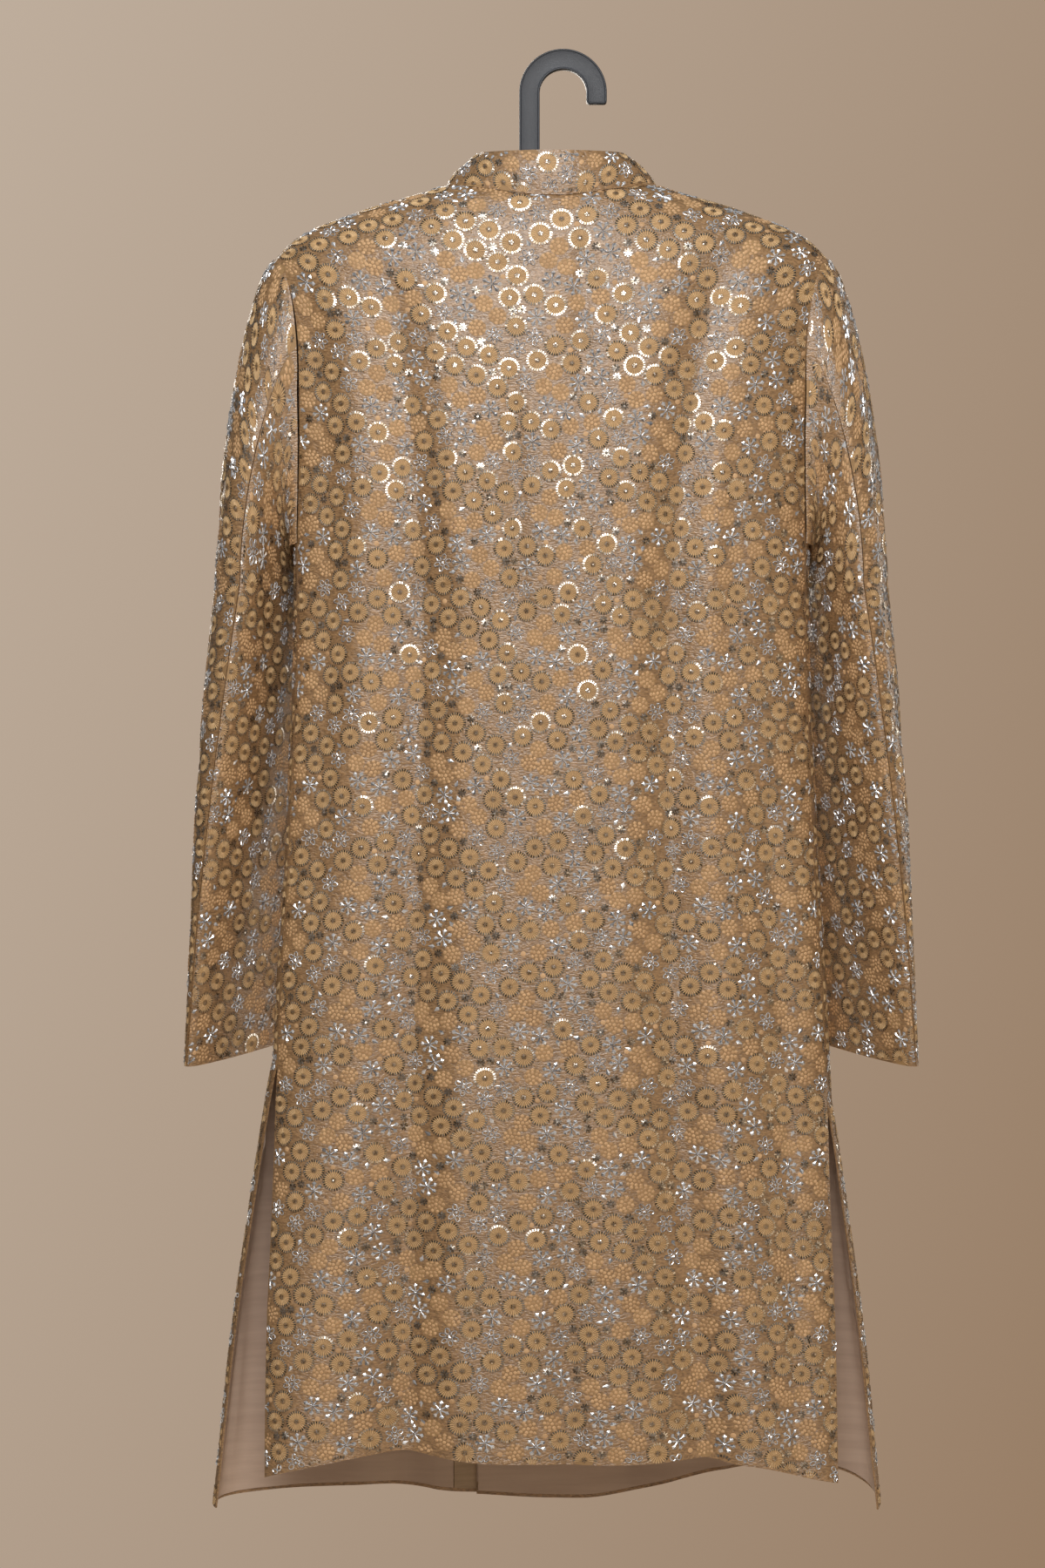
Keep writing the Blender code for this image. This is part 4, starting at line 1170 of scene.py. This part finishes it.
# How unevenly a finish lies, as slopes: a motif as a whole, and each stitch by itself.
LEAN = {"sequins": (0.09, 0.03), "beads": (0.05, 0.14)}
JUST_CLEAR = 0.00005        # the least height of a stitch over the cloth, in metres
FINISH = {
    "sequins": sequin_foil,
    "beads": silver_bead,
    "spokes": spoke_thread,
    "discs_and_knot_shadow": disc_thread_and_knot_shadow,
    "knots": knot_thread,
}
print("finishes of the embroidery", list(WORK))


# %% Stitch one finish onto a piece
def turned(x, y, angle):
    return x * np.cos(angle) - y * np.sin(angle), x * np.sin(angle) + y * np.cos(angle)


def stitch(piece, places, ring, shape, hand, base, lean=(0.0, 0.0)):
    """Points and faces of one ring of stitches at every place, leaving out those off the cut."""
    points, quads, triangles = shape
    x, y = turned(ring[None, :, 0], ring[None, :, 1], places[:, 2:3])
    u = (places[:, :1] + x / 1000).ravel()
    v = (places[:, 1:2] + y / 1000).ravel()
    angle = (places[:, 2:3] + ring[None, :, 2]).ravel()
    keep = piece.find(u, v)[2]
    u, v, angle = u[keep, None], v[keep, None], angle[keep, None]
    x, y = turned(points[None, :, 0], points[None, :, 1], angle)
    r, c, _ = piece.find(u + x / 1000, v + y / 1000)
    chance = np.random.default_rng(len(u))
    slopes = chance.normal(0, lean[1], (2, len(u), 1))
    of_motif = np.repeat(np.arange(len(places)), len(ring))[keep]
    tilt = chance.normal(0, lean[0], (2, len(places)))[:, of_motif, None]
    slopes += turned(*tilt, -angle)
    height = (points[None, :, 2] + slopes[0] * points[None, :, 0] + slopes[1] * points[None, :, 1]) / 1000
    height = np.maximum(height, JUST_CLEAR)
    placed = piece.at(r, c, base + height).reshape(-1, 3) + CENTRED
    offset = (np.arange(len(u)) * len(points))[:, None, None]
    order = slice(None, None, hand)
    faces = []
    for kind in (quads, triangles):
        faces.append(None if kind is None else (kind[None, :, order] + offset).reshape(-1, kind.shape[1]))
    return placed, faces[0], faces[1]


def joined(faces, starts):
    found = [kind + start for kind, start in zip(faces, starts) if kind is not None and len(kind)]
    return np.concatenate(found) if found else None


def embroider(piece, low, high, origin, hand, seed):
    """Works the design on a piece. hand is -1 where u runs the other way to the net's columns."""
    for finish, work in WORK.items():
        parts = []
        for motif, ring, shape in work:
            number = [m[0] for m in MOTIFS].index(motif)
            places = motif_places(motif, low, high, np.array(origin), seed * 100 + number)
            lean = LEAN.get(finish, (0.0, 0.0))
            parts.append(stitch(piece, places, ring, shape, hand, piece.wall + JUST_CLEAR, lean))
        points, quads, triangles = zip(*parts)
        starts = added_up([len(found) for found in points])
        sharp = math.radians(20) if finish == "beads" else None
        obj = new_mesh(
            f"{piece.name}_{finish}", np.concatenate(points), joined(quads, starts),
            [FINISH[finish]], None, joined(triangles, starts), sharp,
        )
        belongs(obj, "embroidered_cloth")
        piece.decoration.append(obj)
    count = sum(len(obj.data.polygons) for obj in piece.decoration)
    print(f"{piece.name}: {count} faces of embroidery")


# %% [markdown]
# Now the pieces are sewn and worked. A place on a net runs to the right as one looks at the cloth,
# and so does u on the back and the left front. On the right front u counts the other way.

# %% Sew and work the back
TURNING = round(0.012 / CELL)   # cells of cloth turned in along hems and slits
SLIT_ROW = UPPER + 80
INNER_FACE = 0.0002


def sew_cloth(piece, node, low=INNER_FACE, turned_columns=()):
    cells = np.zeros((piece.points.shape[0] - 1, piece.points.shape[1] - 1), bool)
    cells[-TURNING:] = bool(turned_columns)
    for columns in turned_columns:
        cells[SLIT_ROW:, columns] = True
    belongs(sew_piece(piece, low, piece.wall, [ground, satin], cells), "embroidered_cloth", node)


FIRST_CELLS, LAST_CELLS = slice(TURNING), slice(-TURNING, None)
sew_cloth(back, "back", turned_columns=(FIRST_CELLS, LAST_CELLS))
embroider(back, (-0.26, -1.20), (0.26, -0.02), (0.013, 0.004), 1, 1)

# %% Sew and work the fronts
for piece, node, hand, slit_cells, seed in (
    (front_left, "front_left", 1, LAST_CELLS, 2),
    (front_right, "front_right", -1, FIRST_CELLS, 3),
):
    sew_cloth(piece, node, turned_columns=(slit_cells,))
    embroider(piece, (-0.03, -1.20), (0.30, -0.02), (0.041, 0.031), hand, seed)

# %% Sew and work the sleeves
for number, piece in enumerate(sleeves):
    sew_cloth(piece, piece.name.replace("_cloth", ""))
    embroider(piece, (-0.15, -0.75), (0.15, 0.0), (0.02 * number, 0.013 * number), 1, 4 + number)

# %% Sew and work the collar
sew_cloth(collar, "collar", low=0.0)
embroider(collar, (-0.30, -0.06), (0.30, 0.0), (0.03, 0.01), 1, 9)

# %% [markdown]
# ## Linings and facing
#
# Below the slits the fronts show their wrong side. Each is lined with satin that is cut a little
# loose, so it puckers between its seams, and the left front's edge is faced with raw silk. They
# are laid on the front's own net, set in by the thickness of the seam, with a few puckers each.

# %% Lay a lining inside a front
LINED_FROM = UPPER + LOWER * 7 / 13
LINED_TO = UPPER + LOWER - 0.6
LINED_ROWS = 74
TURNED_IN = 0.004           # the cloth's own edge, beside the lining
LINING_PUCKERS = {
    # from (distance from the slit, z) to (distance, z), height, width
    -1: [
        (0.010, -0.850, 0.014, -1.150, 0.0032, 0.0036),
        (0.026, -0.880, 0.022, -1.020, 0.0026, 0.0050),
        (0.004, -0.872, 0.030, -0.915, 0.0030, 0.0034),
        (0.032, -0.990, 0.036, -1.160, 0.0034, 0.0070),
        (0.075, -0.900, 0.070, -1.160, 0.0040, 0.0110),
        (0.125, -0.860, 0.130, -1.160, 0.0036, 0.0100),
    ],
    1: [
        (0.012, -0.880, 0.010, -1.150, 0.0030, 0.0040),
        (0.026, -0.900, 0.030, -1.060, 0.0024, 0.0056),
        (0.006, -1.020, 0.030, -0.985, 0.0022, 0.0040),
        (0.060, -0.880, 0.066, -1.160, 0.0040, 0.0110),
        (0.120, -0.900, 0.112, -1.150, 0.0036, 0.0120),
        (0.180, -0.880, 0.186, -1.160, 0.0032, 0.0110),
    ],
}


def lay_inside(front, side, name, q_from, q_to, puckers):
    past = FRONT_PAST[side]
    columns = front.points.shape[1] - 1
    far = GIRTH - SEAM_W - SEAM / 2
    q = np.linspace(q_from, q_to, round(abs(q_to - q_from) / CELL) + 1)
    c = (q + past) / (far + past) * columns
    c = columns - c if side > 0 else c
    r, c = np.meshgrid(np.linspace(LINED_FROM, LINED_TO, LINED_ROWS), c, indexing="ij")
    flat = front.at(r, c, np.zeros(r.shape))
    slit_side = (far - q)[None, :] + 0 * r
    loose = crease_depth(slit_side, flat[..., 2], puckers)
    points = front.at(r, c, -(SEAM + loose))
    return Piece(name, points, LINING, None)


inner_far = GIRTH - SEAM_W - TURNED_IN
lining_left = lay_inside(
    front_left, -1, "lining_left_satin", FACING_EDGE + SEAM, inner_far, LINING_PUCKERS[-1]
)
lining_right = lay_inside(
    front_right, 1, "lining_right_satin", inner_far, -RIGHT_EDGE + 0.001, LINING_PUCKERS[1]
)
facing = lay_inside(
    front_left, -1, "facing_left_silk", -LEFT_EDGE + 0.0035, FACING_EDGE - SEAM, []
)
for piece, finish, slot_name, node in (
    (lining_left, satin, "satin_lining", "lining_left"),
    (lining_right, satin, "satin_lining", "lining_right"),
    (facing, raw_silk, "raw_silk", "facing_left"),
):
    belongs(sew_piece(piece, -LINING, 0.0, [finish]), slot_name, node)
    piece.say_cut()

# %% [markdown]
# ## Buttons and buttonholes
#
# The coat closes at the front with eight small domed metal buttons. Each is turned: an outline
# with a rim, a groove and a dome, spun round its axis. The left front has a worked hole for each.

# %% Turn the buttons
BUTTON_RADIUS = 0.0075
BUTTON_HEIGHT = 0.0055
BUTTON_RIM = 0.0021         # height of the rim that the dome stands on
BUTTONS_AT = np.linspace(-0.190, -0.690, 8)


def turn_button():
    """Outline as shares of the radius and heights, from the foot up to the dome, then spun."""
    outline = [(0.7, 0.0), (0.96, 0.0005), (1.0, 0.0012), (0.97, 0.0019), (0.90, BUTTON_RIM)]
    outline.append((0.86, 0.0019))
    for angle in np.linspace(0, math.pi / 2, 7, endpoint=False):
        dome_z = BUTTON_RIM + (BUTTON_HEIGHT - BUTTON_RIM) * math.sin(angle)
        outline.append((0.84 * math.cos(angle), dome_z))
    radius, z = np.array(outline).T[..., None] * [[[BUTTON_RADIUS]], [[1.0]]]
    turn = np.linspace(0, 2 * math.pi, 36, endpoint=False)
    rings = np.stack([radius * np.cos(turn), radius * np.sin(turn), z + 0 * turn], -1)
    points, quads, caps = closed_tube(rings, flip=True)
    points[-1, 2] = BUTTON_HEIGHT
    return points, quads, caps


def outward(w, z, panel):
    step = 0.0004
    round_it = body(w + step, z, panel) - body(w - step, z, panel)
    down_it = body(w, z - step, panel) - body(w, z + step, panel)
    normal = np.cross(down_it, round_it)
    return normal / lengths(normal)


def metal_material():
    material, tree, shader = new_material("button_metal")
    surface = place_group(tree, STITCHES, Size=900.0, Blotch=160.0)
    brass = ramp_between(tree, surface.outputs["Tone"], (0.46, 0.35, 0.21), (0.74, 0.62, 0.44), 0.3, 0.7)
    rough = ramp_between(tree, surface.outputs["Height"], (0.2,) * 3, (0.42,) * 3, 0.3, 0.7)
    tree.links.new(brass, shader.inputs["Base Color"])
    tree.links.new(rough, shader.inputs["Roughness"])
    shader.inputs["Metallic"].default_value = 1.0
    return material


button_metal = metal_material()
points, quads, caps = turn_button()
for number, z in enumerate(BUTTONS_AT, start=1):
    place = body(-GIRTH, z, "front") + CENTRED + np.array([0, CLOTH + 2 * SEAM, 0])
    facing_out = outward(-GIRTH + 0.001, z, "front")
    level = np.array([-1.0, 0, 0])
    axes = np.stack([level, np.cross(facing_out, level), facing_out])
    name, sharp = f"coat_button_{number}", math.radians(35)
    button = new_mesh(name, points @ axes + place, quads, [button_metal], None, caps, sharp)
    belongs(button, "button_metal", f"button_{number}")
print("buttons", len(BUTTONS_AT), "of", BUTTON_RADIUS * 2000, "mm")

# %% Work the buttonholes
bars = [(x, side, math.pi / 2) for side in (-1.0, 1.0) for x in np.linspace(-13.0, 6.0, 20)]
at_buttons = np.column_stack([0 * BUTTONS_AT, BUTTONS_AT, 0 * BUTTONS_AT])
bar = roof(1.7, 0.42, 0.42, 0.5)
points, quads, _ = stitch(front_left, at_buttons, np.array(bars), bar, 1, CLOTH + 0.0006)
holes = new_mesh("buttonholes", points, quads, [disc_thread_and_knot_shadow])
belongs(holes, "embroidered_cloth")
front_left.decoration.append(holes)
print("buttonhole stitches", len(quads) // 2)

# %% [markdown]
# ## The hanger
#
# The coat hangs on a moulded hanger. Its hook is a flat band with a raised rim on both faces, so
# one section is swept along a path: the stem, half a circle over the rail, and the short tip.

# %% Sweep the hook
HOOK_INNER = 0.019
HOOK_WIDTH = 0.0167
HOOK_THICKNESS = 0.008
HOOK_TIP_Z = -0.0282
STEM_END_Z = -0.1135


def hook_section():
    """The band's outline. Its rim is given in shares of half the width and half the thickness."""
    half = np.array([
        (0.76, 0.84), (0.79, 0.86), (0.83, 0.95), (0.86, 1.0), (0.93, 1.0), (0.98, 0.92), (1.0, 0.74),
    ])
    front = np.concatenate([half[::-1] * [-1, -1], half * [1, -1]])
    return np.concatenate([front, front * [-1, -1]]) * [HOOK_WIDTH / 2, HOOK_THICKNESS / 2]


def hook_path():
    """Middle of the band, its outward direction, and how full its section is."""
    middle = HOOK_INNER + HOOK_WIDTH / 2
    steps = [(-middle, z, -1.0, 0.0, 1.0) for z in np.linspace(STEM_END_Z, -HOOK_INNER - 0.002, 12)]
    for angle in np.linspace(math.pi, 0, 49):
        x, z = math.cos(angle), math.sin(angle)
        steps.append((middle * x, middle * z - HOOK_INNER, x, z, 1.0))
    for back_off, full in ((0.0030, 1.0), (0.0016, 0.97), (0.0007, 0.90), (0.0002, 0.80), (0.0, 0.70)):
        steps.append((middle, HOOK_TIP_Z + back_off, 1.0, 0.0, full))
    return np.array(steps)


def sweep_hook():
    section, path = hook_section(), hook_path()
    rings = []
    for x, z, out_x, out_z, full in path:
        across, through = section[:, 0] * full, section[:, 1] * full
        rings.append(np.column_stack([x + out_x * across, through, z + out_z * across]))
    return closed_tube(np.array(rings))


def plastic_material():
    material, tree, shader = new_material("grey_moulded_plastic")
    surface = place_group(tree, STITCHES, Size=1300.0, Blotch=40.0)
    grey = ramp_between(
        tree, surface.outputs["Tone"], (0.030, 0.035, 0.045), (0.043, 0.050, 0.062), 0.3, 0.7
    )
    tree.links.new(grey, shader.inputs["Base Color"])
    raise_bump(tree, shader, surface.outputs["Height"], 0.00015)
    shader.inputs["Roughness"].default_value = 0.42
    return material


grey_plastic = plastic_material()
points, quads, ends = sweep_hook()
hook = new_mesh("hook_band", points, quads, [grey_plastic], None, ends, math.radians(18))
belongs(hook, "grey_plastic", "hanger_hook")
print("hook", len(quads), "faces")

# %% Loft the arms inside the shoulders
ARMS = Table(
    ("x", "top", "half_height", "half_depth"),
    [
        (0.000, -0.1140, 0.011, 0.011), (0.045, -0.1140, 0.010, 0.010),
        (0.085, -0.1195, 0.009, 0.010), (0.120, -0.1290, 0.009, 0.012),
        (0.160, -0.1415, 0.010, 0.015), (0.190, -0.1540, 0.011, 0.016),
        (0.205, -0.1660, 0.009, 0.010),
    ],
)
ARM_REACH = 0.205
around = np.linspace(0, 2 * math.pi, 28, endpoint=False)
rings = []
for x in np.linspace(-ARM_REACH, ARM_REACH, 65):
    closing = math.sqrt(1 - (abs(x) / (ARM_REACH + 0.0002)) ** 24)
    tall, deep = ARMS.read("half_height", abs(x)), ARMS.read("half_depth", abs(x))
    y = closing * deep * np.cos(around)
    z = ARMS.read("top", abs(x)) - tall + closing * tall * np.sin(around)
    rings.append(np.column_stack([0 * y + x, y, z]))
points, quads, ends = closed_tube(np.array(rings), flip=True)
points, sharp = points + CENTRED, math.radians(50)
arms = new_mesh("arms_moulded", points, quads, [grey_plastic], None, ends, sharp)
belongs(arms, "grey_plastic", "hanger_arms")
print("arms", 2 * ARM_REACH, "m across")

# %% [markdown]
# ## What each sheet was cut to
#
# The width, length and area of every piece's flat cut are measured along its own net and printed.
# Embroidery goes with the piece that it is worked on.

for pieces, held, rests in (
    ((back, front_left, front_right), "hung", ["hanger_arms"]),
    ((collar,), "stretched", ["coat_back", "coat_front_left", "coat_front_right"]),
    (sleeves, "hung", ["coat_back"]),
    ((lining_left,), "hung", ["coat_front_left"]),
    ((lining_right,), "hung", ["coat_front_right"]),
    ((facing,), "hung", ["coat_front_left"]),
):
    for piece in pieces:
        width, length, area = piece.cut()
        piece.say_cut()

# %% [markdown]
# ## Light, floor and camera
#
# Two soft lights, one in front of the coat and one high above it, model the folds as in a small
# studio, and small foils flash where they face them. Weaker warm ones fill in from below and from
# both sides, and two behind reach the inside of the fronts. The room around gives a little warm
# light, so the shadows go brown. The backdrop is a plain beige that darkens to the lower right.

# %% World
world = bpy.data.worlds.new("studio")
bpy.context.scene.world = world
world.use_nodes = True
tree = world.node_tree
tree.nodes.clear()
out = tree.nodes.new("ShaderNodeOutputWorld")
seen = add_node(tree, "ShaderNodeBackground", Strength=1.0)
room = add_node(tree, "ShaderNodeBackground", Strength=0.14)
way = tree.nodes.new("ShaderNodeTexCoord")
apart = tree.nodes.new("ShaderNodeSeparateXYZ")
tree.links.new(way.outputs["Generated"], apart.inputs[0])
lift = add_node(tree, "ShaderNodeMapRange")
lift.inputs["From Min"].default_value = -1
tree.links.new(apart.outputs["Z"], lift.inputs["Value"])
around_it = ramp_between(tree, lift.outputs[0], (0.62, 0.40, 0.24), (1.0, 0.90, 0.80), 0.25, 0.85)
tree.links.new(around_it, room.inputs["Color"])
# The backdrop that the camera sees darkens toward the lower right: painted shade.
aside = add_node(tree, "ShaderNodeMath", operation="MULTIPLY_ADD")
tree.links.new(apart.outputs["X"], aside.inputs[0])
aside.inputs[1].default_value, aside.inputs[2].default_value = 2.1, 0.45
shade = add_node(tree, "ShaderNodeMath", operation="MULTIPLY_ADD", use_clamp=True)
tree.links.new(apart.outputs["Z"], shade.inputs[0])
tree.links.new(aside.outputs[0], shade.inputs[2])
shade.inputs[1].default_value = -0.8
backdrop = ramp_between(tree, shade.outputs[0], (0.515, 0.418, 0.332), (0.290, 0.185, 0.110))
tree.links.new(backdrop, seen.inputs["Color"])
path = tree.nodes.new("ShaderNodeLightPath")
choose = tree.nodes.new("ShaderNodeMixShader")
tree.links.new(path.outputs["Is Camera Ray"], choose.inputs[0])
tree.links.new(room.outputs[0], choose.inputs[1])
tree.links.new(seen.outputs[0], choose.inputs[2])
tree.links.new(choose.outputs[0], out.inputs["Surface"])
print("world", world.name)


# %% Lights
def area_light(name, place, aim, wide, tall, power, colour):
    """An oval lamp of so many watts, turned towards what it lights."""
    data = bpy.data.lights.new(name, "AREA")
    data.shape, data.size, data.size_y, data.energy, data.color = "ELLIPSE", wide, tall, power, colour
    obj = bpy.data.objects.new(name, data)
    obj.location = place
    direction = np.array(aim) - np.array(place)
    direction = direction / np.linalg.norm(direction)
    heading = math.atan2(direction[1], direction[0])
    obj.rotation_euler = (math.acos(-direction[2]), 0, heading - math.pi / 2)
    obj.visible_camera = False
    bpy.context.scene.collection.objects.link(obj)
    print(name, power, "W")


area_light("front_light", (0.0, -2.50, 0.50), (0.0, 0.0, -0.2), 1.5, 0.6, 30.5, (1.0, 0.97, 0.94))
area_light("top_light", (-0.30, -1.80, 1.50), (0.0, 0.0, -0.2), 1.2, 0.5, 25.0, (0.96, 0.98, 1.0))
area_light("low_light", (0.15, -2.60, -1.65), (0.0, 0.0, -0.9), 0.6, 0.6, 1.4, (1.0, 0.76, 0.52))
area_light("side_light", (-2.3, -1.7, 0.3), (0.0, 0.0, -0.5), 1.0, 1.0, 1.0, (1.0, 0.90, 0.80))
area_light("fill_light", (2.3, -1.9, -1.0), (0.0, 0.0, -0.9), 1.4, 1.4, 4.8, (1.0, 0.76, 0.50))
area_light("rear_light", (-0.6, 2.9, 0.4), (0.0, 0.0, -0.6), 1.8, 1.8, 62.0, (1.0, 0.94, 0.86))
area_light("rear_right_light", (2.6, 1.3, -0.2), (0.0, 0.0, -0.6), 1.4, 1.4, 15.0, (1.0, 0.92, 0.82))

# %% Floor
FLOOR_Z, FLOOR_RADIUS = -1.75, 2.3
turn = np.linspace(0, 2 * math.pi, 64, endpoint=False)
circle = np.column_stack([np.cos(turn), np.sin(turn), np.ones(64)])
floor_points = circle * [FLOOR_RADIUS, FLOOR_RADIUS, FLOOR_Z]
floor_mesh = bpy.data.meshes.new("floor")
floor_mesh.from_pydata(floor_points.tolist(), [], [list(range(64))])
floor = bpy.data.objects.new("floor", floor_mesh)
bpy.context.scene.collection.objects.link(floor)
floor_material, tree, shader = new_material("pale_floor")
surface = stretched_noise(tree, (1, 1, 1), 6.0, 4.0)
boards = ramp_between(tree, surface.outputs[0], (0.58, 0.48, 0.37), (0.64, 0.54, 0.43))
tree.links.new(boards, shader.inputs["Base Color"])
shader.inputs["Roughness"].default_value = 0.8
floor_mesh.materials.append(floor_material)
floor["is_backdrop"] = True

# %% Camera
scene = bpy.context.scene
camera = bpy.data.objects.new("camera", bpy.data.cameras.new("camera"))
camera.data.lens = 85
camera.data.sensor_width = 36
camera.location = (-0.033, -3.0175, -0.582)
camera.rotation_euler = (math.pi / 2, 0, 0)
scene.collection.objects.link(camera)
scene.camera = camera
scene.view_settings.view_transform = "Standard"
print("camera", tuple(round(v, 3) for v in camera.location))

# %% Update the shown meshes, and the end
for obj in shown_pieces():
    obj.data.update()
